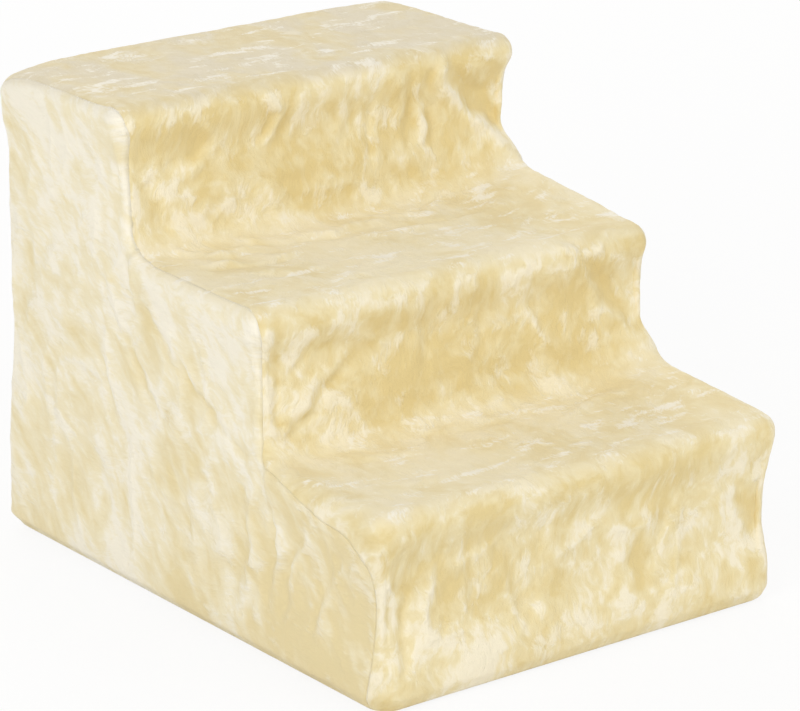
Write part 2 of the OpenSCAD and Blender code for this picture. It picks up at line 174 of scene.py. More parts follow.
@dataclass(frozen=True)
class Fold:
    """One fold that the cloth keeps: a soft ridge, or a hollow if its height is negative.

    Beside it may run a valley, which is hollow deep and lies at a gap from its line.
    """

    points: Tuple[Triple, ...]
    height: float
    width: float
    hollow: float = 0.0
    gap: float = 0.0

    def rise(self, at: Array, normal: Array) -> Array:
        """How far the fold lifts the cloth at each place.

        Args:
            at: places on the cloth.
            normal: the cloth's outward directions there.

        Returns:
            Rise in millimetres.
        """
        line = np.asarray(self.points, float)
        steps = np.linalg.norm(np.diff(line, axis=0), axis=1)
        along = np.concatenate([[0.0], np.cumsum(steps)])
        best = np.full(len(at), 1e9)
        side = np.zeros(len(at))
        share = np.zeros(len(at))
        for i, step in enumerate(steps):
            a, d = line[i], (line[i + 1] - line[i]) / step
            t = np.clip((at - a) @ d, 0.0, step)
            away = at - (a + t[:, None] * d)
            gap = np.linalg.norm(away, axis=1)
            closer = gap < best
            best = np.where(closer, gap, best)
            across = np.einsum("ij,ij->i", away, np.cross(d, normal))
            side = np.where(closer, across, side)
            share = np.where(closer, (along[i] + t) / along[-1], share)
        fade = np.clip(4.0 * share * (1.0 - share), 0.0, 1.0) ** 0.5
        ridge = self.height * np.exp(-((best / self.width) ** 2))
        beyond = best - np.abs(side)
        valley = np.exp(-(((side - self.gap) / self.width) ** 2) - (beyond / self.width) ** 2)
        return (ridge - self.hollow * valley) * fade


# Cut and outline of the cover


@dataclass
class Outline:
    """The stepped outline that the cover is cut to, seen from the side, in millimetres."""

    width: float = 345.0
    back: float = 225.0
    fronts: Triple = (-225.0, -90.0, 67.5)
    levels: Triple = (136.0, 240.5, 345.0)
    ramps: Tuple[float, ...] = (-225.0, -100.0, -80.0, 57.0, 77.0, 225.0)
    nose: float = 12.0
    hem_top: float = 8.5
    edge: float = 11.0
    foot_edge: float = 18.0
    foot_span: Pair = (15.0, 70.0)
    front_rows: int = 60
    nose_rows: int = 10
    bridge_rows: Tuple[int, int] = (104, 116)
    top_rows: int = 68
    bridge_left: Pair = (16.0, 22.0)
    bridge_mid: Pair = (20.0, 18.0)
    bridge_right: Pair = (30.0, 30.0)
    left_span: Pair = (90.0, 160.0)
    right_span: Pair = (40.0, 165.0)
    tent: Pair = (11.0, 16.0)
    tent_span: Pair = (90.0, 172.0)
    tent_left: float = 2.0
    tent_left_span: Pair = (110.0, 170.0)
    tent_reach: float = 125.0
    tent_curve: float = 0.85
    tent_fade: Pair = (15.0, 85.0)
    tail: float = 20.0
    tail_step: float = 2.0

    def edge_radius(self, z: Array) -> Array:
        """Radius of the rounded side edges at a height, larger at the foot, where the hem turns in."""
        return self.foot_edge + (self.edge - self.foot_edge) * smooth(z, *self.foot_span)

    def level_at(self, y: Array) -> Array:
        """Height of the tread at each depth, with a ramp at each riser."""
        return np.interp(y, self.ramps, np.repeat(self.levels, 2))

    def bend(self, x: Array, step: int) -> Array:
        """Radius with which the cloth bridges an inner corner at each place across the stairs."""
        left, mid, right = self.bridge_left[step], self.bridge_mid[step], self.bridge_right[step]
        return mid + (right - mid) * smooth(x, *self.right_span) + (left - mid) * smooth(-x, *self.left_span)

    def lifted(self, x: Array, step: int) -> Array:
        """How far the taut right edge lifts off the back of a tread at each place across the stairs."""
        return self.tent[step] * smooth(x, *self.tent_span) + self.tent_left * smooth(-x, *self.tent_left_span)

    def _nose(self, front: float, level: float) -> Array:
        """Rows round the nose of a step.

        Args:
            front: Y of its riser.
            level: Z of its tread.

        Returns:
            Rows of Y and Z.
        """
        a = np.linspace(0.0, QUARTER, self.nose_rows + 1)[1:]
        r = self.nose
        return np.stack([front + r - r * np.cos(a), level - r + r * np.sin(a)], -1)

    def _bridge(self, x: Array, step: int) -> Array:
        """Rows over a tread, round its inner corner and up the next riser.

        Args:
            x: places across the stairs.
            step: the tread's number.

        Returns:
            Rows by columns of Y and Z.
        """
        start = self.fronts[step] + self.nose
        riser, level = self.fronts[step + 1], self.levels[step]
        end = self.levels[step + 1] - self.nose
        r = self.bend(x, step)
        tread, arc, rise = riser - r - start, r * QUARTER, end - level - r
        s = np.linspace(0.0, 1.0, self.bridge_rows[step] + 1)[1:, None] * (tread + arc + rise)
        turn = np.clip((s - tread) / r, 0.0, QUARTER)
        y = np.minimum(start + s, riser - r) + r * np.sin(turn)
        z = level + r - r * np.cos(turn) + np.maximum(s - tread - arc, 0.0)
        away = np.clip(1.0 - (riser - y) / self.tent_reach, 0.0, 1.0)
        fade = 1.0 - smooth(z, *(level + above for above in self.tent_fade))
        z = z + self.lifted(x, step) * away**self.tent_curve * fade
        return np.stack([y, z], -1)

    def curve(self, x: Array) -> Array:
        """The outline from the top of the hem to the rear top seam at each place across the stairs.

        Args:
            x: places across the stairs.

        Returns:
            Rows by columns of Y and Z.
        """
        x = np.asarray(x, float)
        across = np.ones((1, len(x), 1))
        front = np.linspace(self.hem_top, self.levels[0] - self.nose, self.front_rows + 1)
        parts = [np.stack([np.full_like(front, self.fronts[0]), front], -1)[:, None] * across]
        for step in (0, 1):
            parts.append(self._nose(self.fronts[step], self.levels[step])[:, None] * across)
            parts.append(self._bridge(x, step))
        parts.append(self._nose(self.fronts[2], self.levels[2])[:, None] * across)
        top = np.linspace(self.fronts[2] + self.nose, self.back - self.nose, self.top_rows + 1)[1:]
        parts.append(np.stack([top, np.full_like(top, self.levels[2])], -1)[:, None] * across)
        a = np.linspace(0.0, QUARTER, self.nose_rows + 1)[1:]
        r = self.nose
        y, z = self.back - r + r * np.sin(a), self.levels[2] - r + r * np.cos(a)
        parts.append(np.stack([y, z], -1)[:, None] * across)
        return np.concatenate(parts)

    def side_line(self, side: Side) -> Array:
        """The whole outline at a side's edge, on down the back to below the hem.

        Args:
            side: which side.

        Returns:
            Rows of Y and Z.
        """
        line = self.curve(np.array([side.value * (self.width / 2 - self.edge)]))[:, 0]
        down = np.arange(line[-1, 1] - self.tail_step, self.hem_top - self.tail, -self.tail_step)
        low = np.array([[self.fronts[0], self.hem_top - self.tail]])
        return np.concatenate([low, line, np.stack([np.full_like(down, self.back), down], -1)])

    def inset(self, at: Array, side: Side) -> Array:
        """Distance in from the outline, seen from the side.

        Args:
            at: places as Y and Z.
            side: which side.

        Returns:
            Distances in millimetres.
        """
        line = self.side_line(side)
        a, d = line[:-1], np.diff(line, axis=0)
        size = np.einsum("ij,ij->i", d, d)
        flat = at.reshape(-1, 2)
        out = np.empty(len(flat))
        for i in range(0, len(flat), CHUNK):
            p = flat[i : i + CHUNK, None] - a[None]
            t = np.clip(np.einsum("kij,ij->ki", p, d) / size, 0.0, 1.0)
            out[i : i + CHUNK] = np.sqrt((((p - t[..., None] * d) ** 2).sum(-1)).min(1))
        return out.reshape(at.shape[:-1])

    def side_x(self, at: Array, side: Side) -> Array:
        """Where a side face lies, rounded towards the outline.

        Args:
            at: places as Y and Z.
            side: which side.

        Returns:
            X at each place.
        """
        r = self.edge_radius(at[..., 1])
        gap = np.clip(r - self.inset(at, side), 0.0, r)
        return side.value * (self.width / 2 - r + np.sqrt(np.maximum(r * r - gap * gap, 0.0)))


@dataclass
class Hem:
    """The turned-under lower edge, which runs round all four sides."""

    radius: float = 8.0
    reach: float = 14.0
    lift: float = 0.5
    turn_rows: int = 8
    flat_rows: int = 8
    tight: float = 1.5

    def rows(self, foot: Array, outline: Outline) -> Array:
        """Rows from the hem's inner edge up to a panel's lowest row.

        Args:
            foot: the panel's lowest row, as points.
            outline: the cover's outline.

        Returns:
            Rows by columns of points, without the lowest row itself.
        """
        a = np.linspace(QUARTER, 0.0, self.turn_rows + 1)[:-1]
        inward = np.linspace(self.reach, 0.0, self.flat_rows + 1)[:-1] + self.radius
        inset = np.concatenate([inward, self.radius * (1.0 - np.cos(a))])
        height = np.concatenate([np.full_like(inward, self.lift), self.lift + self.radius * (1 - np.sin(a))])
        r = outline.foot_edge
        half = np.array([outline.width / 2, outline.back])
        xy = foot[:, :2]
        sign = np.where(xy < 0, -1.0, 1.0)
        size = np.abs(xy)
        out = np.empty((len(inset), len(foot), 3))
        for k, (d, z) in enumerate(zip(inset, height)):
            rr = max(r - d, self.tight)
            core = half - r
            new = half - d - rr
            over = np.clip((size - core) / r, 0.0, 1.0)
            place = np.minimum(size / core, 1.0) * new + over * rr
            out[k, :, :2] = sign * place
            out[k, :, 2] = z
        return out


# Cloth shell


@dataclass
class Shell:
    """A panel of cloth as a closed thin solid: a fine outer face, a coarse lining and a rim."""

    name: str
    points: Array
    cells: Optional[Array] = None
    edge: Optional[Array] = None
    thickness: float = 4.0
    ease: float = 5.0
    trodden_and_skylit_span: Pair = (0.3, 0.95)
    plain_shade: float = 0.5

    def __post_init__(self) -> None:
        """Gives a panel without steps all its coarse cells."""
        if self.cells is None:
            self.cells = np.ones([(count - 1) // FINE for count in self.points.shape[:2]], bool)

    def fine(self) -> Array:
        """Which fine cells the panel has."""
        return np.repeat(np.repeat(self.cells, FINE, 0), FINE, 1)

    def quads(self) -> Array:
        """The faces of the outer side.

        Returns:
            Four vertex numbers for each.
        """
        columns = self.points.shape[1]
        i, j = np.nonzero(self.fine())
        base = i * columns + j
        return np.stack([base, base + 1, base + columns + 1, base + columns], -1)

    def normals(self) -> Array:
        """Outward directions, from the faces round each point.

        Returns:
            A direction of length 1 at each point.
        """
        flat = self.points.reshape(-1, 3)
        quads = self.quads()
        a, b, c, d = (flat[quads[:, k]] for k in range(4))
        face = np.cross(c - a, d - b)
        total = np.zeros_like(flat)
        for k in range(4):
            for axis in range(3):
                total[:, axis] += np.bincount(quads[:, k], face[:, axis], len(flat))
        size = np.linalg.norm(total, axis=1, keepdims=True)
        return (total / np.maximum(size, 1e-12)).reshape(self.points.shape)

    def rim(self, lining: int) -> Array:
        """The faces that join the outer face to the lining along the panel's edge.

        Args:
            lining: number of the lining's first vertex.

        Returns:
            Faces of seven vertex numbers.
        """
        columns = self.points.shape[1]
        cells = np.pad(self.cells, 1)
        found = []
        for (di, dj), start, step in (
            ((-1, 0), (0, FINE), (0, -1)),
            ((1, 0), (FINE, 0), (0, 1)),
            ((0, -1), (0, 0), (1, 0)),
            ((0, 1), (FINE, FINE), (-1, 0)),
        ):
            beyond = cells[1 + di : cells.shape[0] - 1 + di, 1 + dj : cells.shape[1] - 1 + dj]
            i, j = np.nonzero(self.cells & ~beyond)
            first = (i * FINE + start[0]) * columns + j * FINE + start[1]
            line = [first + (step[0] * columns + step[1]) * k for k in range(FINE + 1)]
            found.append(np.stack([*line, line[-1] + lining, line[0] + lining], -1))
        return np.concatenate(found)

    def sewn(self, faces: Sequence[Array], targets: Sequence[Array]) -> Tuple[Array, ...]:
        """Moves the panel's sewn edge onto its neighbour's and fades the move inwards.

        Args:
            faces: the outer face's points and the lining's.
            targets: where the edge of each goes.

        Returns:
            The moved faces.
        """
        rows, columns = self.edge.T
        tree = KDTree(len(rows))
        for i, point in enumerate(self.points[rows, columns]):
            tree.insert(point, i)
        tree.balance()
        found = [tree.find(point)[1:] for point in self.points.reshape(-1, 3)]
        nearest = np.array([i for i, _ in found])
        share = np.exp(-((np.array([gap for _, gap in found]) / self.ease) ** 2))
        moved = []
        for face, target in zip(faces, targets):
            miss = target - face[rows, columns]
            out = face + (miss[nearest] * share[:, None]).reshape(face.shape)
            out[rows, columns] = target
            moved.append(out)
        return tuple(moved)

    def solid(self, outer: Array, inner: Array, shade: Array) -> bpy.types.Object:
        """Makes the mesh.

        Args:
            outer: the outer face's points.
            inner: the lining's points.
            shade: painted shade at each point that the finish uses, 0 in hollows and 1 on ridges.

        Returns:
            The object.
        """
        rows, columns = self.points.shape[:2]
        count = rows * columns
        i, j = np.nonzero(self.cells)
        base = (i * columns + j) * FINE + count
        down = FINE * columns
        lining = np.stack([base, base + down, base + down + FINE, base + FINE], -1)
        groups = [self.quads(), lining, self.rim(count)]
        used = np.zeros(2 * count, bool)
        for g in groups:
            used[g.ravel()] = True
        number = np.cumsum(used) - 1
        verts = np.concatenate([outer.reshape(-1, 3), inner.reshape(-1, 3)])[used] * MM
        loops = np.concatenate([number[g].ravel() for g in groups])
        sizes = np.concatenate([np.full(len(g), g.shape[1]) for g in groups])
        mesh = bpy.data.meshes.new(self.name)
        mesh.vertices.add(len(verts))
        mesh.vertices.foreach_set("co", verts.astype(np.float32).ravel())
        mesh.loops.add(len(loops))
        mesh.loops.foreach_set("vertex_index", loops.astype(np.int32))
        mesh.polygons.add(len(sizes))
        starts = np.concatenate([[0], np.cumsum(sizes)[:-1]])
        mesh.polygons.foreach_set("loop_start", starts.astype(np.int32))
        mesh.update(calc_edges=True)
        mesh.polygons.foreach_set("use_smooth", sizes == 4)
        # Painted shade for the finish, kept in the fold attribute: darker in fold hollows, paler on ridges and
        # along seam welts
        painted_shade_values = np.concatenate([shade.ravel(), np.full(count, self.plain_shade)])[used]
        # Upward faces, which the finish gives the flatter tone of pressed-down pile and painted sky light
        tops = smooth(self.normals()[..., 2].ravel(), *self.trodden_and_skylit_span)
        tops = np.concatenate([tops, np.zeros(count)])[used]
        for key, values in (("fold", painted_shade_values), ("trodden_and_skylit", tops)):
            layer = mesh.attributes.new(key, "FLOAT", "POINT")
            layer.data.foreach_set("value", values.astype(np.float32))
        made = bpy.data.objects.new(self.name, mesh)
        bpy.context.scene.collection.objects.link(made)
        return made


@dataclass
class Drape:
    """How the cloth hangs off its cut shape: draw-in, folds, wrinkles, pile and seams."""

    outline: Outline
    folds: Tuple[Fold, ...]
    skirt: float = 24.0
    riser_draw: float = 5.0
    riser_reach: float = 30.0
    riser_feet: Triple = (18.0, 26.0, 26.0)
    riser_foot_end: float = 62.0
    riser_head: Pair = (-14.0, 10.0)
    side_draw: float = 3.5
    side_foot: Pair = (12.0, 70.0)
    side_head: Pair = (-20.0, 10.0)
    end_span: Pair = (8.0, 70.0)
    back_draw: float = 4.0
    back_spans: Tuple[Pair, Pair] = ((12.0, 80.0), (285.0, 330.0))
    puff: Triple = (2.5, 3.5, 2.5)
    puff_at: Pair = (4.0, -6.0)
    puff_reach: float = 19.0
    taut_share: float = 0.6
    taut_span: Pair = (120.0, 165.0)
    edge_puff: float = 1.5
    edge_drop: float = 8.0
    edge_reach: Pair = (16.0, 18.0)
    edge_full: float = 3.0
    hem_flare: float = 2.5
    hem_spans: Tuple[Pair, Pair] = ((6.0, 12.0), (14.0, 55.0))
    side_flare: float = 2.5
    flare_spans: Tuple[Pair, Pair] = ((4.0, 12.0), (20.0, 150.0))
    slack_left: Pair = (60.0, 172.0)
    slack_front: Pair = (-225.0, -150.0)
    corner_draw: float = 4.0
    corner_reach: float = 30.0
    riser_corner_draw: Pair = (1.0, 4.0)
    riser_corner_reach: float = 22.0
    nose_corner_draw: Pair = (3.5, 0.0)
    nose_corner_reach: float = 17.0
    nose_corner_in: float = 2.0
    warp: Pair = (70.0, 22.0)
    broad: Tuple[Pair, Pair] = ((55.0, 1.3), (30.0, 0.7))
    sharp: Triple = (42.0, 42.0, 60.0)
    sharp_rise: float = 1.8
    tread_wave: Pair = (38.0, 0.6)
    backed_share: float = 0.12
    hem_share: float = 0.25
    hem_loose: Pair = (5.0, 45.0)
    loose_rise: float = 0.9
    tuft_warp: Pair = (18.0, 5.0)
    tufts: Tuple[Pair, Pair, Pair] = ((13.0, 0.3), (7.0, 0.2), (4.0, 0.1))
    groove: float = 0.12
    welt: float = 0.25
    stray: Tuple[Pair, Pair] = ((26.0, 7.0), (11.0, 2.2))
    fold_room: float = 140.0
    seed: int = 41

    def __post_init__(self) -> None:
        """Prepares the noise."""
        self.noise = Noise(self.seed)
        self.seams: Optional[KDTree] = None

    def take_seams(self, lines: Sequence[Array], shells: Sequence[Shell]) -> None:
        """Keeps the seams' places and, for each, the mean outward direction of the panels that meet there.

        Args:
            lines: points along each seam.
            shells: the panels.
        """
        points = np.unique(np.round(np.concatenate(lines), 3), axis=0)
        self.seams = KDTree(len(points))
        for i, p in enumerate(points):
            self.seams.insert(p, i)
        self.seams.balance()
        self.outwards = np.zeros_like(points)
        for shell in shells:
            nearest, gap = self.seam_near(shell)
            met = gap < 0.01
            np.add.at(self.outwards, nearest[met], shell.normals().reshape(-1, 3)[met])
        self.outwards /= np.linalg.norm(self.outwards, axis=1, keepdims=True)

    def seam_near(self, shell: Shell) -> Tuple[Array, Array]:
        """Number of the nearest seam point and the distance to it, at each of a panel's points."""
        found = [self.seams.find(p)[1:] for p in shell.points.reshape(-1, 3)]
        return np.array([i for i, _ in found]), np.array([gap for _, gap in found])

    def drawn(self, at: Array, normal: Array) -> Array:
        """Draw-in of risers, sides and back between the boards and the hem.

        Args:
            at: places on the cloth.
            normal: the cloth's outward directions there.

        Returns:
            Rise in millimetres, below 0 where the cloth is drawn in.
        """
        o = self.outline
        x, y, z = at.T
        front, rear = (np.clip(way * normal[:, 1], 0.0, 1.0) ** 2 for way in (-1.0, 1.0))
        flank = np.clip(np.abs(normal[:, 0]), 0.0, 1.0) ** 2
        pull = np.zeros(len(at))
        for riser, low, foot, level in zip(o.fronts, (0.0, *o.levels), self.riser_feet, o.levels):
            here = bell(y, riser, self.riser_reach)
            above = smooth(z, low + foot, low + self.riser_foot_end)
            under = 1.0 - smooth(z, *(level - self.skirt + gap for gap in self.riser_head))
            pull += self.riser_draw * front * here * above * under
        under = 1.0 - smooth(z, *(o.level_at(y) - self.skirt + gap for gap in self.side_head))
        ends = smooth(o.back - np.abs(y), *self.end_span)
        pull += self.side_draw * flank * under * smooth(z, *self.side_foot) * ends
        middle = smooth(o.width / 2 - np.abs(x), *self.end_span)
        pull += self.back_draw * rear * middle * between(z, *self.back_spans)
        return -pull

    def puffed(self, at: Array) -> Array:
        """Fullness of the pile over the noses and the hem, and slack at the upright corners.

        Args:
            at: places on the cloth.

        Returns:
            Rise in millimetres.
        """
        o = self.outline
        x, y, z = at.T
        out = np.zeros(len(at))
        for front, level, puff in zip(o.fronts, o.levels, self.puff):
            gap = np.hypot(y - front - self.puff_at[0], z - level - self.puff_at[1])
            taut = self.taut_share * smooth(x, *self.taut_span) * (front < 0.0)
            out += puff * bell(gap, 0.0, self.puff_reach) * (1.0 - taut)
        edge = bell(np.abs(x), o.width / 2, self.edge_reach[0])
        edge *= bell(z, o.level_at(y) - self.edge_drop, self.edge_reach[1])
        out += self.edge_puff * edge * (1.0 - np.clip(out / self.edge_full, 0.0, 1.0))
        out += self.hem_flare * between(z, *self.hem_spans)
        slack = smooth(-x, *self.slack_left) * smooth(y, *self.slack_front)
        out += self.side_flare * slack * between(z, *self.flare_spans)
        for end, room in ((-o.back, o.levels[0]), (o.back, o.levels[2])):
            gap = np.hypot(np.abs(x) - o.width / 2, y - end)
            tall = between(z, (0.1 * room + 15.0, 0.5 * room), (room - 60.0, room - 30.0))
            out -= self.corner_draw * bell(gap, 0.0, self.corner_reach) * tall
        for step, nose_draw in zip((1, 2), self.nose_corner_draw):
            front, low, level = o.fronts[step], o.levels[step - 1], o.levels[step]
            tall = between(z, (low + 14.0, low + 44.0), (level - 28.0, level - 12.0))
            for side, draw in zip(Side, self.riser_corner_draw):
                gap = np.hypot(x - side.value * o.width / 2, y - front)
                out -= draw * bell(gap, 0.0, self.riser_corner_reach) * tall
            corner = [o.width / 2, front + self.nose_corner_in, level - self.nose_corner_in]
            gap = np.linalg.norm(at - corner, axis=1)
            out -= nose_draw * bell(gap, 0.0, self.nose_corner_reach)
        return out

    def wrinkles(self, at: Array, normal: Array) -> Array:
        """Loose wrinkles of chance shape, strongest where nothing backs the cloth.

        Args:
            at: places on the cloth.
            normal: the cloth's outward directions there.

        Returns:
            Rise in millimetres.
        """
        n = self.noise
        q = at + n.drift(at, *self.warp, (31.0, -57.0, 113.0))
        broad = sum(n(q + place, size) * rise for place, (size, rise) in zip((0.0, 17.0), self.broad))
        ridged = 1.0 - 2.0 * np.abs(n(q + 71.0, self.sharp))
        sharp = np.clip(ridged, 0.0, 1.0) ** 3 * self.sharp_rise
        up = np.clip(normal[:, 2], 0.0, 1.0) ** 2
        below = self.outline.level_at(at[:, 1]) - at[:, 2]
        free = (1.0 - up) * smooth(below, self.skirt - 8.0, self.skirt + 18.0)
        loose = free + self.backed_share * (1.0 - free)
        foot = self.hem_share + (1.0 - self.hem_share) * smooth(at[:, 2], *self.hem_loose)
        size, rise = self.tread_wave
        lifted = rise * up * (n(q + 211.0, size) + 1.0)
        return (broad + sharp) * loose * foot * self.loose_rise + lifted

    def pile(self, at: Array) -> Array:
        """Tufts and partings of the short pile.

        Args:
            at: places on the cloth.

        Returns:
            Rise in millimetres.
        """
        n = self.noise
        q = at + n.drift(at, *self.tuft_warp, (5.0, -9.0, 23.0))
        return sum(n(p, size) * rise for p, (size, rise) in zip((q, q + 40.0, at + 80.0), self.tufts))

    def seam(self, at: Array, gap: Array) -> Array:
        """The turned seam: a narrow, uneven groove between two soft welts."""
        uneven = 1.0 + 0.9 * self.noise(at + 607.0, 7.0)
        return self.welt * uneven * bell(gap, 4.0, 2.8) - self.groove * uneven * bell(gap, 0.0, 1.2)

    def shaped(self, shell: Shell) -> Tuple[Array, Array, Array]:
        """All that lifts or draws a panel's outer face.

        Args:
            shell: the panel.

        Returns:
            The outward direction, the rise along it and the painted shade of folds and seams, at each point.
        """
        n = self.noise
        shape = shell.points.shape[:2]
        at = shell.points.reshape(-1, 3)
        nearest, gap = self.seam_near(shell)
        share = bell(gap, 0.0, 7.0)[:, None]
        normal = shell.normals().reshape(-1, 3) * (1.0 - share) + self.outwards[nearest] * share
        normal /= np.maximum(np.linalg.norm(normal, axis=1, keepdims=True), 1e-9)
        form = self.wrinkles(at, normal)
        strayed = at.copy()
        for stray in self.stray:
            strayed += n.drift(at, *stray, (401.0, -433.0, 467.0))
        vary = 1.0 + 0.55 * n(at + 509.0, 24.0)
        for fold in self.folds:
            near = np.abs(at - np.mean(fold.points, axis=0)).max(1) < self.fold_room
            form[near] += fold.rise(strayed[near], normal[near]) * vary[near]
        form *= 0.35 + 0.65 * smooth(gap, 1.0, 14.0)
        rise = self.drawn(at, normal) + self.puffed(at) + form + self.pile(at) + self.seam(at, gap)
        rise *= smooth(at[:, 2], 0.6, 7.0)
        # Painted shade: darker in the folds' hollows, paler on their ridges
        shade = 0.5 + 0.13 * form
        # Painted highlight: a paler band along the welts either side of each seam
        shade += (0.2 + 0.3 * n(at + 301.0, 12.0)) * bell(gap, 3.5, 4.5)
        return normal.reshape(*shape, 3), rise.reshape(shape), np.clip(shade, 0.0, 1.0).reshape(shape)


# Panels of the cover


@dataclass
class Cover:
    """The loose plush cover: a strip up the steps, two stepped sides and a back."""

    outline: Outline
    hem: Hem
    drape: Drape
    flat_columns: int = 164
    flap_columns: int = 14
    back_rows: int = 160
    side_rows: Tuple[int, int, int] = (64, 52, 48)
    side_columns: Tuple[int, int, int] = (64, 76, 80)
    hem_rows: int = 16
    low: float = 100.0
    seam_turn: float = math.pi / 4
    turn_stops: Tuple[Tuple[float, ...], ...] = ((0.0, 25.0, 145.0, 175.0), (0.0, 35.0), (-30.0, 0.0))
    left_turns: Tuple[float, ...] = (0.5, 0.3, 0.3, 0.2, 0.2, 0.6, 0.6, math.pi / 4)
    left_foot: Tuple[Triple, ...] = ((0.0, -211.0, 8.5), (30.0, -215.0, 38.5), (82.0, -216.5, 86.0))
    left_knots: Tuple[Triple, ...] = (
        (4.0, -214.0, 101.0),
        (16.0, -202.0, 108.5),
        (34.0, -189.0, 118.5),
        (60.0, -163.0, 120.5),
        (92.0, -137.0, 128.0),
        (118.0, -112.0, 133.0),
        (138.0, -90.5, 137.0),
        (155.0, -88.6, 153.0),
        (170.0, -88.65, 168.0),
    )
    left_rounds: int = 14
    spread_rounds: int = 500
    top_blend: float = 40.0
    droop: Pair = (7.0, 2.5)
    droop_reach: Pair = (26.0, 24.0)
    droop_span: Pair = (250.0, 345.0)
    droop_lean: float = 0.12
    hem_wave: Pair = (75.0, 3.0)
    wave_start: Pair = (2.0, 9.0)
    wave_end: Pair = (10.0, 50.0)

    def arc_share(self, seam_inset: Array, radius: Array) -> Array:
        """Even steps from an edge's start to its seam, as shares of the seam's inset.

        Args:
            seam_inset: how far in from the outline the seam runs.
            radius: radius of the edge.

        Returns:
            Rows by flap columns, from 0 to 1.
        """
        round_part = np.arccos(np.clip(1.0 - seam_inset / radius, -1.0, 1.0)) * radius
        beyond = np.maximum(seam_inset - radius, 0.0)
        length = np.where(seam_inset < radius, round_part, radius * QUARTER + beyond)
        s = length[:, None] * np.linspace(0.0, 1.0, self.flap_columns + 1)[None]
        r = radius[:, None]
        turn = np.minimum(s / r, QUARTER)
        inset = r * (1.0 - np.cos(turn)) + np.maximum(s - r * QUARTER, 0.0)
        return inset / inset[:, -1:]

    def seam_line(self, side: Side, line: Array) -> Array:
        """Where a side's seam runs, seen from the side.

        Args:
            side: which side.
            line: the outline at that side.

        Returns:
            Y and Z for each row.
        """
        along = np.gradient(line, axis=0)
        along /= np.linalg.norm(along, axis=1, keepdims=True)
        inward = np.stack([along[:, 1], -along[:, 0]], -1)
        o = self.outline
        r = o.edge_radius(line[:, 1])
        path = np.concatenate([[0.0], np.cumsum(np.linalg.norm(np.diff(line, axis=0), axis=1))])
        nose, second = path[o.front_rows], path[o.front_rows + o.nose_rows + o.bridge_rows[0]]
        third = path[o.front_rows + 2 * o.nose_rows + sum(o.bridge_rows)]
        starts = zip((second, third, path[-1]), self.turn_stops)
        stops = np.concatenate([start + np.array(run) for start, run in starts])
        left = np.interp(path, stops, self.left_turns)
        turn = left if side is Side.LEFT else self.seam_turn
        seam = line + inward * (r * (1.0 - np.cos(turn)))[:, None]
        if side is Side.RIGHT:
            return seam
        knots = np.concatenate([self.left_foot, np.array(self.left_knots) + [nose, 0.0, 0.0]])
        last = np.searchsorted(path, knots[-1, 0])
        own = np.stack([np.interp(path[:last], knots[:, 0], knots[:, k]) for k in (1, 2)], -1)
        joined = np.concatenate([own, seam[last:]])
        for _ in range(self.left_rounds):
            joined[1:-1] = 0.5 * joined[1:-1] + 0.25 * (joined[:-2] + joined[2:])
        return joined

    def strip_points(self) -> Array:
        """The strip's cut shape, from the top of the hem to the rear top seam.

        Returns:
            Rows by columns of points.
        """
        o = self.outline
        half = o.width / 2
        share = np.linspace(-1.0, 1.0, self.flat_columns + 1)
        line = o.curve(share * (half - o.edge))
        r = o.edge_radius(line[:, 0, 1])
        low = (line[:, :, 1] < self.low).all(1)
        x = share[None] * (half - np.where(low, r, o.edge))[:, None]
        middle = np.concatenate([x[..., None], line], -1)
        flaps = {}
        for side in Side:
            start = line[:, 0 if side is Side.LEFT else -1]
            seam = self.seam_line(side, start)
            inset = np.maximum(o.inset(seam, side), 1e-6)
            t = self.arc_share(inset, r)[..., None]
            at = start[:, None] * (1.0 - t) + seam[:, None] * t
            flaps[side] = np.concatenate([o.side_x(at, side)[..., None], at], -1)
        left = flaps[Side.LEFT][:, :0:-1]
        return np.concatenate([left, middle, flaps[Side.RIGHT][:, 1:]], 1)

    def back_points(self, top: Array) -> Array:
        """The back panel's cut shape, from the top of the hem up to the rear top seam.

        Args:
            top: the strip's last row.

        Returns:
            Rows by columns of points.
        """
        o = self.outline
        height = o.levels[2] - o.nose
        z = np.linspace(o.hem_top, height, self.back_rows + 1)
        r = o.edge_radius(z)
        core = (o.width / 2 - r)[:, None]
        x = np.linspace(-1.0, 1.0, self.flat_columns + 1)[None] * core
        turn = np.linspace(0.0, self.seam_turn, self.flap_columns + 1)[1:]
        edge_x = core + r[:, None] * np.sin(turn)
        edge_y = o.back - r[:, None] * (1.0 - np.cos(turn))
        xs = np.concatenate([-edge_x[:, ::-1], x, edge_x], 1)
        ys = np.concatenate([edge_y[:, ::-1], np.full_like(x, o.back), edge_y], 1)
        out = np.stack([xs, ys, np.repeat(z[:, None], xs.shape[1], 1)], -1)
        miss = top - out[-1]
        return out + miss[None] * smooth(z, height - self.top_blend, height)[:, None, None]

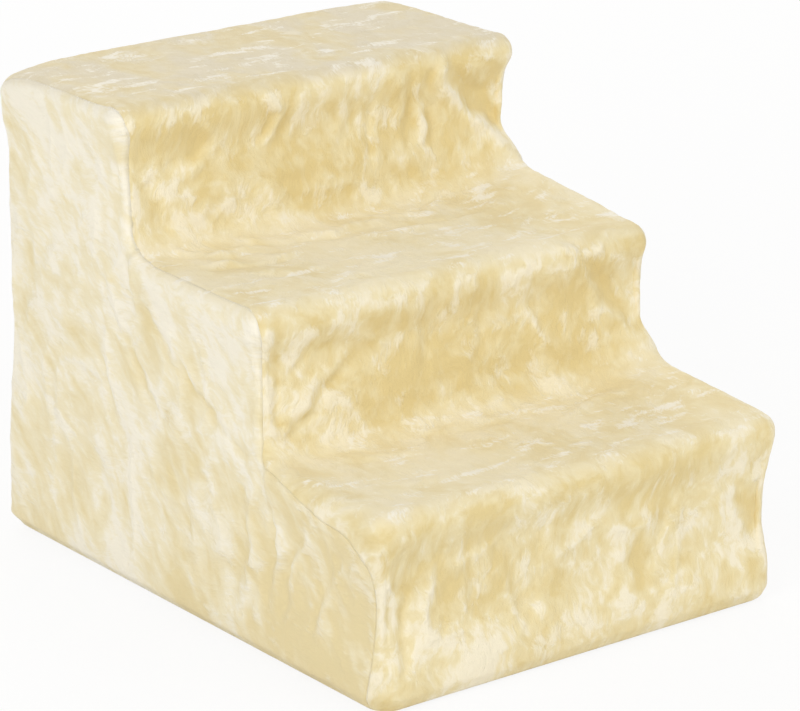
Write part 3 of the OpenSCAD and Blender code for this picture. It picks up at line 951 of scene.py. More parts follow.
    def side_grid(self) -> Tuple[Array, Array, Array]:
        """The grid that a side panel starts from.

        Returns:
            Y and Z by rows and columns, the coarse cells that the panel has, and the row and column of each point
            along its sewn edge.
        """
        o = self.outline
        lines = []
        for stops, counts in (((*o.fronts, o.back), self.side_columns), ((o.hem_top, *o.levels), self.side_rows)):
            runs = [np.linspace(u, v, count + 1)[1:] for u, v, count in zip(stops, stops[1:], counts)]
            lines.append(np.concatenate([stops[:1], *runs]))
        i1, i2, rows = (int(i) for i in np.cumsum(self.side_rows))
        j1, j2, columns = (int(j) for j in np.cumsum(self.side_columns))
        cells = np.ones((rows // FINE, columns // FINE), bool)
        cells[i1 // FINE :, : j1 // FINE] = False
        cells[i2 // FINE :, : j2 // FINE] = False
        path = [(i, 0) for i in range(i1)] + [(i1, j) for j in range(j1)]
        path += [(i, j1) for i in range(i1, i2)] + [(i2, j) for j in range(j1, j2)]
        path += [(i, j2) for i in range(i2, rows)] + [(rows, j) for j in range(j2, columns)]
        path += [(i, columns) for i in range(rows, -1, -1)]
        return np.stack(np.meshgrid(*lines), -1), cells, np.array(path)

    def side_points(self, side: Side, strip: Array, back: Array) -> Tuple[Array, Array, Array]:
        """A side panel's cut shape.

        Args:
            side: which side.
            strip: the strip's cut shape.
            back: the back panel's cut shape.

        Returns:
            Rows by columns of points, the coarse cells that the panel has, and the row and column of each point
            along its sewn edge.
        """
        column = 0 if side is Side.LEFT else -1
        seam = np.concatenate([strip[:, column], back[::-1, column][1:]])[:, 1:]
        grid, cells, path = self.side_grid()
        rows, columns = grid.shape[0] - 1, grid.shape[1] - 1
        edge = tuple(path.T)
        held = np.zeros(grid.shape[:2], bool)
        held[edge] = True
        held[0] = True
        shift = np.zeros_like(grid)
        shift[edge] = seam[: len(path)] - grid[edge]
        t = np.linspace(0.0, 1.0, columns + 1)[:, None]
        shift[0] = shift[0, 0] * (1.0 - smooth(t, 0.0, 0.2)) + shift[0, -1] * smooth(t, 0.8, 1.0)
        inside = np.zeros(grid.shape[:2], bool)
        fine = np.repeat(np.repeat(cells, FINE, 0), FINE, 1)
        for di in (0, 1):
            for dj in (0, 1):
                inside[di : di + rows, dj : dj + columns] |= fine
        free = (inside & ~held)[..., None]
        weight = inside.astype(float)[..., None]
        up, down, right, left = np.s_[1:], np.s_[:-1], np.s_[:, 1:], np.s_[:, :-1]
        for _ in range(self.spread_rounds):
            total, count = np.zeros_like(shift), np.zeros_like(weight)
            for to, came in ((up, down), (down, up), (right, left), (left, right)):
                total[to] += shift[came] * weight[came]
                count[to] += weight[came]
            shift = np.where(free, total / np.maximum(count, 1.0), shift)
        at = grid + shift
        return np.concatenate([self.outline.side_x(at, side)[..., None], at], -1), cells, path

    def with_hem(self, points: Array) -> Array:
        """Adds the turned-under hem below a panel's lowest row."""
        return np.concatenate([self.hem.rows(points[0], self.outline), points])

    def sagged(self, points: Array) -> Array:
        """Lets the empty rear top corners of the cover droop and the hem rise in places.

        Args:
            points: a panel's points.

        Returns:
            The moved points.
        """
        o = self.outline
        x, y, z = np.moveaxis(points, -1, 0)
        high = smooth(z, *self.droop_span)
        drop = np.zeros_like(z)
        for side, droop, reach in zip(Side, self.droop, self.droop_reach):
            drop += droop * bell(x, side.value * o.width / 2, reach) * bell(y, o.back, reach) * high
        size, rise = self.hem_wave
        wave = np.clip(self.drape.noise(points * [1.0, 1.0, 0.0], size) + 0.1, 0.0, 1.0)
        drop -= rise * wave * smooth(z, *self.wave_start) * (1.0 - smooth(z, *self.wave_end))
        return points - drop[..., None] * [0.0, self.droop_lean, 1.0]

    def side_shell(self, side: Side, strip: Array, back: Array) -> Shell:
        """A side panel with its hem, turned so that its face looks outwards.

        Args:
            side: which side.
            strip: the strip's cut shape.
            back: the back panel's cut shape.

        Returns:
            The panel.
        """
        points, cells, path = self.side_points(side, strip, back)
        cells = np.concatenate([np.ones((self.hem_rows // FINE, cells.shape[1]), bool), cells])
        rear = path[-1, 1]
        foot = np.arange(self.hem_rows)
        path = np.concatenate(
            [
                np.stack([foot, np.zeros_like(foot)], -1),
                path + [self.hem_rows, 0],
                np.stack([foot[::-1], np.full_like(foot, rear)], -1),
            ]
        )
        points = self.with_hem(points)
        if side is Side.LEFT:
            points, cells, path = points[:, ::-1], cells[:, ::-1], np.abs(path - [0, rear])
        return Shell(f"plush_side_{side.name.lower()}", points, cells, path)

    def build(self) -> dict:
        """Builds the four panels.

        Returns:
            The objects by name.
        """
        cut = self.strip_points()
        rear = self.back_points(cut[-1])
        rows, columns = rear.shape[0] + self.hem_rows, rear.shape[1]
        top_edge = np.stack([np.full(columns, rows - 1), np.arange(columns)], -1)
        strip = Shell("plush_step_panel", self.with_hem(cut))
        back = Shell("plush_back_panel", self.with_hem(rear)[:, ::-1], edge=top_edge)
        left, right = (self.side_shell(side, cut, rear) for side in Side)
        shells = (strip, back, left, right)
        for shell in shells:
            shell.points = self.sagged(shell.points)
        ends = [shell.points[:, column] for shell in (strip, back) for column in (0, -1)]
        self.drape.take_seams([*ends, strip.points[-1]], shells)
        faces, shades = {}, {}
        for shell in shells:
            normal, rise, shades[shell.name] = self.drape.shaped(shell)
            lining = np.minimum(rise, 0.0) - shell.thickness
            faces[shell.name] = tuple(shell.points + normal * way[..., None] for way in (rise, lining))
        faces[back.name] = back.sewn(faces[back.name], [face[-1, ::-1] for face in faces[strip.name]])
        for shell, column in ((left, 0), (right, -1)):
            pairs = zip(faces[strip.name], faces[back.name])
            line = [np.concatenate([a[:, column], b[::-1, -1 - column][1:]]) for a, b in pairs]
            faces[shell.name] = shell.sewn(faces[shell.name], line)
        return {shell.name: shell.solid(*faces[shell.name], shades[shell.name]) for shell in shells}


# Shader sockets and nodes


class Sock:
    """A shader socket with a number on it, which adds Math nodes as it is used in sums."""

    def __init__(self, graph: "Graph", socket: bpy.types.NodeSocket) -> None:
        """Keeps the socket and the graph that it belongs to."""
        self.graph = graph
        self.socket = socket

    def math(self, operation: str, first: Value, second: Value) -> "Sock":
        """Adds one Math node."""
        node = self.graph.node("ShaderNodeMath", {"operation": operation}, {0: first, 1: second})
        return Sock(self.graph, node.outputs[0])

    def __add__(self, other: Value) -> "Sock":
        """Sum."""
        return self.math("ADD", self, other)

    __radd__ = __add__

    def __sub__(self, other: Value) -> "Sock":
        """Difference."""
        return self.math("SUBTRACT", self, other)

    def __rsub__(self, other: Value) -> "Sock":
        """Difference from a number."""
        return self.math("SUBTRACT", other, self)

    def __mul__(self, other: Value) -> "Sock":
        """Product."""
        return self.math("MULTIPLY", self, other)

    __rmul__ = __mul__


class Graph:
    """The nodes of one material or of the world."""

    def __init__(self, owner: Union[bpy.types.Material, bpy.types.World], shader: str) -> None:
        """Takes over the owner's nodes.

        Args:
            owner: the material or the world.
            shader: name of the shader that it starts with.
        """
        owner.use_nodes = True
        self.owner = owner
        self.nodes = owner.node_tree.nodes
        self.links = owner.node_tree.links
        self.shader = self.nodes[shader]

    @classmethod
    def material(cls, name: str) -> "Graph":
        """The nodes of a new material."""
        return cls(bpy.data.materials.new(name), "Principled BSDF")

    def node(self, kind: str, settings: dict, inputs: dict) -> bpy.types.Node:
        """Adds any node.

        Args:
            kind: the node's type.
            settings: its own settings, set first.
            inputs: values or links, by socket name or number.

        Returns:
            The node.
        """
        made = self.nodes.new(kind)
        for key, value in settings.items():
            setattr(made, key, value)
        for key, value in inputs.items():
            self.feed(made.inputs[key], value)
        return made

    def feed(self, socket: bpy.types.NodeSocket, value: object) -> None:
        """Links or sets one socket.

        Args:
            socket: the socket.
            value: another socket, a number or a colour.
        """
        if isinstance(value, Sock):
            value = value.socket
        if isinstance(value, bpy.types.NodeSocket):
            self.links.new(value, socket)
        else:
            socket.default_value = value

    def place(self) -> bpy.types.NodeSocket:
        """Places on the object, in metres."""
        return self.node("ShaderNodeTexCoord", {}, {}).outputs["Object"]

    def attribute(self, name: str) -> Sock:
        """A number that the mesh keeps at each point."""
        return Sock(self, self.node("ShaderNodeAttribute", {"attribute_name": name}, {}).outputs["Fac"])

    def parts(self, vector: bpy.types.NodeSocket) -> Tuple[Sock, Sock, Sock]:
        """The three numbers of a vector."""
        node = self.node("ShaderNodeSeparateXYZ", {}, {0: vector})
        return tuple(Sock(self, node.outputs[i]) for i in range(3))

    def vector(self, x: Value, y: Value, z: Value) -> bpy.types.NodeSocket:
        """A vector of three numbers."""
        return self.node("ShaderNodeCombineXYZ", {}, {0: x, 1: y, 2: z}).outputs[0]

    def vector_math(self, operation: str, first: object, second: object) -> bpy.types.NodeSocket:
        """One Vector Math node."""
        return self.node("ShaderNodeVectorMath", {"operation": operation}, {0: first, 1: second}).outputs[0]

    def noise(self, vector: object, scale: float, detail: float, rough: float) -> Sock:
        """Noise from 0 to 1 whose features are about one over scale metres across."""
        inputs = {"Vector": vector, "Scale": scale, "Detail": detail, "Roughness": rough}
        return Sock(self, self.node("ShaderNodeTexNoise", {}, inputs).outputs[0])

    def warped(self, vector: object, scale: float, amount: float) -> bpy.types.NodeSocket:
        """A vector pushed about by slow noise.

        Args:
            vector: the vector.
            scale: features of the noise to a metre.
            amount: how far it pushes, in metres.

        Returns:
            The pushed vector.
        """
        node = self.node("ShaderNodeTexNoise", {}, {"Vector": vector, "Scale": scale, "Detail": 2.0})
        centred = self.vector_math("SUBTRACT", node.outputs["Color"], (0.5, 0.5, 0.5))
        return self.vector_math("ADD", vector, self.vector_math("MULTIPLY", centred, (amount,) * 3))

    def stretch(self, vector: object, x: float, y: float, z: float) -> bpy.types.NodeSocket:
        """A vector scaled along each axis."""
        return self.vector_math("MULTIPLY", vector, (x, y, z))

    def step(self, value: Value, low: float, high: float) -> Sock:
        """A soft step of a number between two values."""
        inputs = {"Value": value, "From Min": low, "From Max": high}
        return Sock(self, self.node("ShaderNodeMapRange", {"interpolation_type": "SMOOTHSTEP"}, inputs).outputs[0])

    def mix(self, share: Value, first: object, second: object, blend: str = "MIX") -> bpy.types.NodeSocket:
        """A mix of two colours."""
        settings = {"data_type": "RGBA", "blend_type": blend}
        return self.node("ShaderNodeMix", settings, {0: share, 6: first, 7: second}).outputs[2]

    def grey(self, value: Value) -> bpy.types.NodeSocket:
        """A number as a grey colour."""
        return self.node("ShaderNodeCombineColor", {}, {0: value, 1: value, 2: value}).outputs[0]

    def bump(self, height: Value, distance: float, strength: float) -> bpy.types.NodeSocket:
        """A normal that a height tilts."""
        inputs = {"Height": height, "Distance": distance, "Strength": strength}
        return self.node("ShaderNodeBump", {}, inputs).outputs[0]

    def seen(self) -> Sock:
        """What the camera, a mirror or a glass sees.

        Returns:
            A factor, 1 where it is seen.
        """
        path = self.node("ShaderNodeLightPath", {}, {})
        total = path.outputs["Is Camera Ray"]
        for ray in ("Is Glossy Ray", "Is Transmission Ray"):
            inputs = {0: total, 1: path.outputs[ray]}
            total = self.node("ShaderNodeMath", {"operation": "ADD", "use_clamp": True}, inputs).outputs[0]
        return Sock(self, total)

    def blend(self, share: Value, first: bpy.types.Node, second: bpy.types.Node) -> bpy.types.NodeSocket:
        """A mix of two shaders."""
        inputs = {0: share, 1: first.outputs[0], 2: second.outputs[0]}
        return self.node("ShaderNodeMixShader", {}, inputs).outputs[0]

    def dress(self, **sockets: object) -> Union[bpy.types.Material, bpy.types.World]:
        """Feeds the shader's sockets, named with underscores for spaces.

        Args:
            sockets: values or links by name.

        Returns:
            The owner of the nodes.
        """
        for key, value in sockets.items():
            self.feed(self.shader.inputs[key.replace("_", " ")], value)
        return self.owner


# Finishes

# Features to a metre in the layers of the pile, from broad patches to single fibres
BROAD, FLECK, PATCH, CRUSH, BRUSH, STREAK, FIBRE = 13.0, 44.0, 46.0, 120.0, 210.0, 640.0, 1700.0


@dataclass(frozen=True)
class Plush:
    """Short cream pile, mottled where it lies over to one side or the other."""

    name: str
    lay: Lay
    dark: str = "E2CE96"
    mid: str = "EBDDB2"
    light: str = "F4EBD2"
    cover: float = 0.35
    spots: float = 0.75
    crush: float = 0.8
    mottle: float = 1.0
    slope: Pair = (0.0, 0.0)
    slope_front: float = 0.065
    slope_height: float = 0.2
    dents: float = 0.0
    # Flatter tones for upward faces, pressed-down pile and painted light both: the top is painted greyer than the
    # treads
    worn_tread_painted_light: str = "EFE3C1"
    worn_top_painted_light: str = "DDD1B6"
    top_painted_light_span: Pair = (0.27, 0.32)
    sweep: str = "F8F3E6"

    def surface(self, graph: Graph) -> Tuple[bpy.types.NodeSocket, bpy.types.NodeSocket]:
        """Places on the cloth as across, along and through the lie of the pile.

        Args:
            graph: the material's nodes.

        Returns:
            The places for the patches and those for the fibres.
        """
        x, y, z = graph.parts(graph.place())
        if self.lay is Lay.CLIMB:
            along = graph.vector(x, y + z, (z - y) * 0.35)
            return along, along
        if self.lay is Lay.DOWN:
            down = graph.vector(x, z, y * 0.15)
            return down, down
        slant = graph.vector(z * 0.67 - y * 0.74, y * 0.4 + z * 0.44, x * 0.4)
        return slant, graph.vector(z - y * 0.2, y + z * 0.2, x * 0.15)

    def make(self) -> bpy.types.Material:
        """Builds the material.

        Returns:
            The material.
        """
        g = Graph.material(self.name)
        dark, mid, light = linear(self.dark), linear(self.mid), linear(self.light)
        at, comb = self.surface(g)
        bent = g.warped(at, 11.0, 0.06)
        brushed, combed = (g.warped(g.warped(way, 16.0, 0.035), 70.0, 0.008) for way in (at, comb))
        broad = g.noise(g.stretch(bent, 1.0, 0.6, 1.0), BROAD, 1.0, 0.5)
        patch = g.noise(g.stretch(brushed, 1.0, 0.7, 1.0), PATCH, 1.5, 0.5)
        brush = g.noise(g.stretch(combed, 1.0, 0.32, 1.0), BRUSH, 2.0, 0.55)
        streak = g.noise(g.stretch(combed, 1.0, 0.16, 1.0), STREAK, 2.0, 0.6)
        fibre = g.noise(g.stretch(combed, 1.0, 0.3, 1.0), FIBRE, 2.0, 0.6)
        fleck = g.noise(g.stretch(brushed, 1.1, 0.75, 1.0), FLECK, 1.5, 0.5)
        crush = g.noise(g.stretch(brushed, 1.0, 0.55, 1.0), CRUSH, 1.5, 0.5)
        fold, trodden_and_skylit = g.attribute("fold"), g.attribute("trodden_and_skylit")
        torn = (brush - 0.5) * 0.48 + (streak - 0.5) * 0.28
        # How far the pile stands up to the light, with painted shade in fold hollows and painted light on ridges
        # and seam welts
        height = (broad - 0.5) * 1.1 * self.mottle + (patch - 0.5) * 0.9 * self.mottle
        height = height + (crush - 0.5) * self.crush + (fold - 0.5) * 0.6
        if self.lay is Lay.ACROSS:
            # The sides' tone runs paler towards the back and the top, darker towards the front and the foot
            _, y, z = g.parts(g.place())
            side_gradient = (y + self.slope_front) * self.slope[0] + (z - self.slope_height) * self.slope[1]
            height = height + g.step(side_gradient, -0.3, 0.3) * 0.44 - 0.2
        shift = 0.16 * self.cover
        tone = g.mix(g.step(height + torn * 0.5, -0.24 - shift, 0.2 - shift), dark, mid)
        tone = g.mix(g.step(height + torn, 0.1 - shift, 0.42 - shift), tone, light)
        # Pale flecks, more of them on ridges, where they are painted light
        spots = g.step(fleck + torn * 0.7 + (fold - 0.5) * 0.3, 0.56, 0.74)
        tone = g.mix(spots * self.spots, tone, light)
        dents = g.step(0.9 - fleck + torn * 0.5 + (patch - 0.5) * 0.4, 0.53, 0.68)
        tone = g.mix(dents * self.dents, tone, dark)
        # Upward faces mixed towards a flatter tone: pile that feet have pressed down, and painted sky light as
        # well, the top painted greyer than the treads for how the light falls on it; and pale sweeps across them
        x, y, z = g.parts(g.warped(g.place(), 30.0, 0.02))
        flattened = g.step(broad + (patch - 0.5) * 0.7, 0.36, 0.62) * 0.45 + 0.35
        worn_and_painted_light = g.mix(g.step(z, *self.top_painted_light_span), linear(self.worn_tread_painted_light), linear(self.worn_top_painted_light))
        tone = g.mix(trodden_and_skylit * flattened, tone, worn_and_painted_light)
        swept = g.noise(g.vector(x * 0.36, y, z), 85.0, 2.0, 0.5) + 0.4 * (streak - 0.5) + 0.3 * (patch - 0.5)
        tone = g.mix(g.step(swept, 0.56, 0.74) * trodden_and_skylit * 0.8, tone, linear(self.sweep))
        relief = fibre * 0.25 + streak * 0.35 + brush * 0.5 + patch * 0.4 + spots * 0.3
        return g.dress(
            Base_Color=g.mix(1.0, tone, g.grey(0.955 + 0.05 * streak + 0.04 * fibre), "MULTIPLY"),
            Roughness=0.93,
            Normal=g.bump(relief, 0.0022, 0.5),
            Sheen_Weight=0.25,
            Sheen_Roughness=0.55,
            Sheen_Tint=(1.0, 0.97, 0.9, 1.0),
            Specular_IOR_Level=0.12,
        )


@dataclass(frozen=True)
class Moulded:
    """Moulded plastic with a fine spark-eroded grain and faint flow marks."""

    name: str = "moulded_board"
    tone: str = "DADAD4"
    dusty: str = "C9C9C2"

    def make(self) -> bpy.types.Material:
        """Builds the material.

        Returns:
            The material.
        """
        g = Graph.material(self.name)
        at = g.place()
        grain = g.noise(at, 1900.0, 2.0, 0.6)
        flow = g.noise(g.stretch(g.warped(at, 9.0, 0.06), 1.0, 0.4, 1.0), 14.0, 3.0, 0.5)
        dust = g.noise(at, 60.0, 4.0, 0.65)
        return g.dress(
            Base_Color=g.mix(0.35 * flow + 0.15 * dust, linear(self.tone), linear(self.dusty)),
            Roughness=0.46 + 0.12 * dust + 0.06 * (grain - 0.5),
            Normal=g.bump(grain * 0.5 + flow * 0.3, 0.0004, 0.5),
        )


@dataclass(frozen=True)
class Tube:
    """Extruded plastic tube with faint draw lines along it."""

    name: str
    along: Triple
    tone: str = "E9E9E4"
    scuffed: str = "D8D8D2"

    def make(self) -> bpy.types.Material:
        """Builds the material.

        Returns:
            The material.
        """
        g = Graph.material(self.name)
        at = g.place()
        lines = g.noise(g.stretch(at, *self.along), 900.0, 2.0, 0.5)
        scuff = g.noise(g.warped(at, 30.0, 0.03), 55.0, 4.0, 0.6)
        return g.dress(
            Base_Color=g.mix(0.3 * scuff, linear(self.tone), linear(self.scuffed)),
            Roughness=0.3 + 0.14 * scuff + 0.05 * (lines - 0.5),
            Normal=g.bump(lines, 0.0002, 0.4),
        )


@dataclass(frozen=True)
class Rubber:
    """Matt black rubber with a dusty bloom."""

    name: str = "foot_rubber"
    tone: str = "1E1E20"
    bloomed: str = "3A3A3B"

    def make(self) -> bpy.types.Material:
        """Builds the material.

        Returns:
            The material.
        """
        g = Graph.material(self.name)
        at = g.place()
        bloom = g.noise(at, 160.0, 4.0, 0.65)
        pits = g.noise(at, 2200.0, 2.0, 0.5)
        return g.dress(
            Base_Color=g.mix(g.step(bloom, 0.4, 0.75), linear(self.tone), linear(self.bloomed)),
            Roughness=0.78 + 0.1 * bloom,
            Normal=g.bump(pits, 0.0003, 0.5),
            Specular_IOR_Level=0.3,
        )


@dataclass(frozen=True)
class Elastic:
    """Woven elastic with ribs across the band."""

    name: str = "hem_elastic_weave"
    tone: str = "C9C7BE"
    raised: str = "F0EEE6"

    def make(self) -> bpy.types.Material:
        """Builds the material.

        Returns:
            The material.
        """
        g = Graph.material(self.name)
        at = g.place()
        settings = {"wave_type": "BANDS", "bands_direction": "DIAGONAL"}
        wave = g.node("ShaderNodeTexWave", settings, {"Vector": at, "Scale": 210.0, "Distortion": 0.6})
        ribs = Sock(g, wave.outputs["Fac"])
        fuzz = g.noise(at, 1500.0, 2.0, 0.6)
        return g.dress(
            Base_Color=g.mix(ribs * 0.5 + fuzz * 0.3, linear(self.tone), linear(self.raised)),
            Roughness=0.85,
            Normal=g.bump(ribs + 0.3 * fuzz, 0.0004, 0.7),
        )


# The inner frame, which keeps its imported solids


@dataclass
class InnerFrame:
    """Boards, rails, tubes, feet and elastic inside the cover."""

    nodes: dict

    def dress(self) -> None:
        """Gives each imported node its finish."""
        moulded, rubber, elastic = Moulded().make(), Rubber().make(), Elastic().make()
        upright = Tube("leg_tube", (1.0, 1.0, 0.03)).make()
        level = Tube("cross_tube", (0.03, 1.0, 1.0)).make()
        finish = {
            "tread_board": moulded,
            "base_rail": moulded,
            "leg_": upright,
            "cross_tube": level,
            "rubber_feet": rubber,
            "hem_elastic": elastic,
        }
        for name, node in self.nodes.items():
            for start, material in finish.items():
                if name.startswith(start):
                    node.data.materials.clear()
                    node.data.materials.append(material)
                    LOG.info("%s is finished as %s", name, material.name)


# Camera, light and floor


@dataclass
class Studio:
    """The photograph's viewing angle, a soft light and a pale floor."""

    eye: Triple = (-1.6558, -2.1837, 1.0902)
    turn: float = -37.43
    tilt: float = 18.85
    lens: float = 185.03
    sensor: float = 36.0
    clip: Pair = (0.05, 40.0)
    look_at: Triple = (0.0, 0.0, 0.17)
    sky: Tuple[float, float, float, float] = (1.0, 0.995, 0.98, 1.0)
    sky_strength: float = 0.62
    floor_half: float = 9.0
    floor_tone: str = "F4F3F1"
    floor_glow: float = 0.88

    def camera(self) -> None:
        """Makes the camera."""
        data = bpy.data.cameras.new("camera")
        data.lens = self.lens
        data.sensor_width = self.sensor
        data.clip_start, data.clip_end = self.clip
        made = bpy.data.objects.new("camera", data)
        bpy.context.scene.collection.objects.link(made)
        a, e = math.radians(self.turn), math.radians(self.tilt)
        back = Vector((math.sin(a) * math.cos(e), -math.cos(a) * math.cos(e), math.sin(e)))
        right = Vector((0.0, 0.0, 1.0)).cross(back).normalized()
        turned = Matrix((right, back.cross(right), back)).transposed().to_4x4()
        made.matrix_world = Matrix.Translation(self.eye) @ turned
        bpy.context.scene.camera = made

    def lamp(self, name: str, place: Triple, size: float, power: float) -> None:
        """Makes one large soft lamp that looks at the stairs.

        Args:
            name: the lamp's name.
            place: where it stands.
            size: its diameter.
            power: its power in watts.
        """
        data = bpy.data.lights.new(name, "AREA")
        data.shape = "DISK"
        data.size = size
        data.energy = power
        made = bpy.data.objects.new(name, data)
        made.location = place
        look = Vector(self.look_at) - Vector(place)
        made.rotation_mode = "QUATERNION"
        made.rotation_quaternion = look.to_track_quat("-Z", "Y")
        bpy.context.scene.collection.objects.link(made)

    def world(self) -> None:
        """A white background that lights the stairs softly."""
        world = bpy.data.worlds.new("studio")
        bpy.context.scene.world = world
        g = Graph(world, "Background")
        g.dress(Color=self.sky, Strength=self.sky_strength)
        white = g.node("ShaderNodeBackground", {}, {"Color": WHITE, "Strength": 1.0})
        g.feed(g.nodes["World Output"].inputs["Surface"], g.blend(g.seen(), g.shader, white))

    def floor(self) -> None:
        """A pale floor that keeps the shadow."""
        mesh = bpy.data.meshes.new("floor")
        half = self.floor_half
        corners = [(-half, -half, 0), (half, -half, 0), (half, half, 0), (-half, half, 0)]
        mesh.from_pydata(corners, [], [(0, 1, 2, 3)])
        floor = bpy.data.objects.new("floor", mesh)
        bpy.context.scene.collection.objects.link(floor)
        g = Graph.material("pale_floor")
        g.dress(Base_Color=linear(self.floor_tone), Roughness=0.9, Specular_IOR_Level=0.1)
        glow = g.node("ShaderNodeEmission", {}, {"Color": WHITE, "Strength": 1.0})
        g.feed(g.nodes["Material Output"].inputs["Surface"], g.blend(g.seen() * self.floor_glow, g.shader, glow))
        mesh.materials.append(g.owner)

    def build(self) -> None:
        """Builds the studio."""
        bpy.context.scene.view_settings.view_transform = "Standard"
        self.camera()
        self.world()
        self.floor()
        self.lamp("key", (-2.6, -1.2, 2.0), 1.6, 38.0)
        self.lamp("fill", (1.2, -2.8, 1.6), 2.2, 24.0)
        self.lamp("rear", (1.6, 2.8, 1.8), 2.4, 32.0)


# Folds that the cover keeps, along lines in millimetres


THIRD_RISER = (
    Fold(((98, 67, 335), (112, 67, 321), (131, 67, 295), (152, 67, 275), (168, 60, 252)), 5.6, 7.0, 4.6, -11.0),
    Fold(((64, 67, 333), (68, 67, 309), (69, 67, 278)), 1.9, 4.5, 2.2, -8.0),
    Fold(((83, 67, 330), (89, 67, 308), (86, 67, 276)), 1.7, 4.5, 2.6, -8.0),
    Fold(((55, 67, 320), (50, 67, 292), (47, 67, 266)), 1.5, 4.0, 1.8, 7.0),
    Fold(((-54, 70, 343), (-39, 67, 327), (-43, 67, 310), (-61, 67, 297)), 1.8, 5.0, 1.4, 8.0),
    Fold(((-108, 67, 331), (-95, 67, 312), (-104, 67, 298), (-126, 67, 283)), 2.3, 6.5, 2.0, 10.0),
    Fold(((-152, 67, 290), (-141, 67, 270), (-132, 66, 254)), -3.4, 8.0),
    Fold(((-80, 67, 272), (-39, 67, 277), (0, 67, 270)), -2.6, 10.0),
    Fold(((92, 67, 299), (103, 67, 279), (116, 66, 261)), -2.6, 9.0),
    Fold(((-23, 67, 338), (-19, 67, 316), (-30, 67, 290)), 1.4, 5.0, 1.3, 8.0),
    Fold(((12, 67, 330), (18, 67, 305), (10, 67, 275)), 1.2, 5.0, 1.0, -7.0),
)
SECOND_TREAD = (
    Fold(((-152, 60, 240), (-134, 52, 240), (-116, 40, 240), (-84, 36, 240)), 3.2, 4.5, 1.4, 8.0),
    Fold(((-140, 30, 240), (-116, 14, 240), (-92, 10, 240), (-60, 16, 240)), 2.8, 4.5, 1.6, 8.0),
    Fold(((-96, 56, 240), (-60, 44, 240), (-24, 34, 240), (24, 34, 240)), 3.4, 4.5, 1.8, 9.0),
    Fold(((-120, -6, 240), (-96, -20, 240), (-70, -24, 240)), 1.8, 5.0, 1.2, 8.0),
    Fold(((-40, 10, 240), (10, 6, 240), (70, 2, 240), (120, 14, 243)), 2.0, 6.0, 1.2, -9.0),
    Fold(((-104, -50, 240), (-60, -58, 240), (-20, -52, 240)), 1.2, 6.0, 0.6, 9.0),
    Fold(((20, 44, 241), (60, 34, 241), (100, 40, 243)), 2.2, 5.0, 1.2, -8.0),
    Fold(((86, -87, 238), (112, -91, 237), (148, -87, 238)), 1.8, 4.0, 1.8, -6.0),
)
SECOND_RISER = (
    Fold(((-92, -90, 204), (-109, -90, 190), (-124, -90, 178), (-142, -90, 168)), 1.9, 5.5, 2.6, -10.0),
    Fold(((-128, -90, 178), (-144, -90, 164), (-160, -90, 156)), 1.2, 5.0, 2.4, -9.0),
    Fold(((-112, -90, 222), (-128, -90, 216), (-140, -90, 206), (-154, -90, 199)), 1.1, 5.0, 1.5, -9.0),
    Fold(((-114, -90, 229), (-98, -90, 217), (-80, -90, 204), (-62, -90, 197)), 2.0, 5.5, 1.6, 9.0),
    Fold(((-162, -90, 234), (-161, -90, 195), (-164, -90, 152)), 1.7, 3.6, 2.2, -7.0),
    Fold(((-40, -90, 226), (-34, -90, 200), (-44, -90, 168)), 1.4, 6.0, 1.5, -9.0),
    Fold(((4, -90, 228), (14, -90, 204), (8, -90, 172)), 1.3, 6.0, 1.6, -8.0),
    Fold(((48, -90, 224), (60, -90, 198), (80, -90, 172)), 1.6, 6.0, 1.8, -9.0),
    Fold(((92, -90, 228), (112, -90, 205), (138, -90, 180), (164, -92, 158)), 2.6, 6.5, 2.8, -11.0),
    Fold(((-20, -90, 168), (30, -90, 164), (70, -91, 158)), -2.2, 9.0),
)
FIRST_TREAD = (
    Fold(((-120, -110, 136), (-90, -128, 136), (-60, -134, 136)), 1.3, 6.0, 0.8, 8.0),
    Fold(((-50, -104, 138), (0, -108, 138), (50, -104, 138)), 1.8, 6.0, 0.8, 9.0),
    Fold(((40, -140, 136), (90, -126, 137), (140, -120, 141)), 1.6, 6.5, 1.0, -9.0),
    Fold(((-140, -180, 136), (-100, -172, 136), (-70, -186, 136)), 1.0, 6.0),
)
FIRST_RISER = (
    Fold(((-161, -225, 114), (-159, -225, 80), (-161, -225, 24)), 2.0, 4.2, 2.6, -9.0),
    Fold(((-134, -225, 112), (-127, -225, 80), (-132, -225, 40)), 1.2, 6.0, 1.5, -9.0),
    Fold(((-112, -225, 110), (-106, -225, 80), (-96, -225, 50)), 1.0, 5.5, 1.2, -8.0),
    Fold(((-80, -225, 104), (-64, -225, 64), (-54, -225, 28)), 1.4, 6.0, 1.3, -9.0),
    Fold(((-30, -225, 108), (-24, -225, 76), (-38, -225, 36)), 0.9, 8.0, 1.0, 11.0),
    Fold(((20, -225, 110), (38, -225, 70), (40, -225, 24)), 1.2, 7.0, 1.2, -10.0),
    Fold(((84, -225, 100), (80, -225, 74), (66, -225, 40)), 0.9, 6.0, 1.0, 9.0),
    Fold(((112, -225, 116), (130, -225, 80), (154, -225, 40)), 2.0, 7.0, 2.0, -10.0),
)
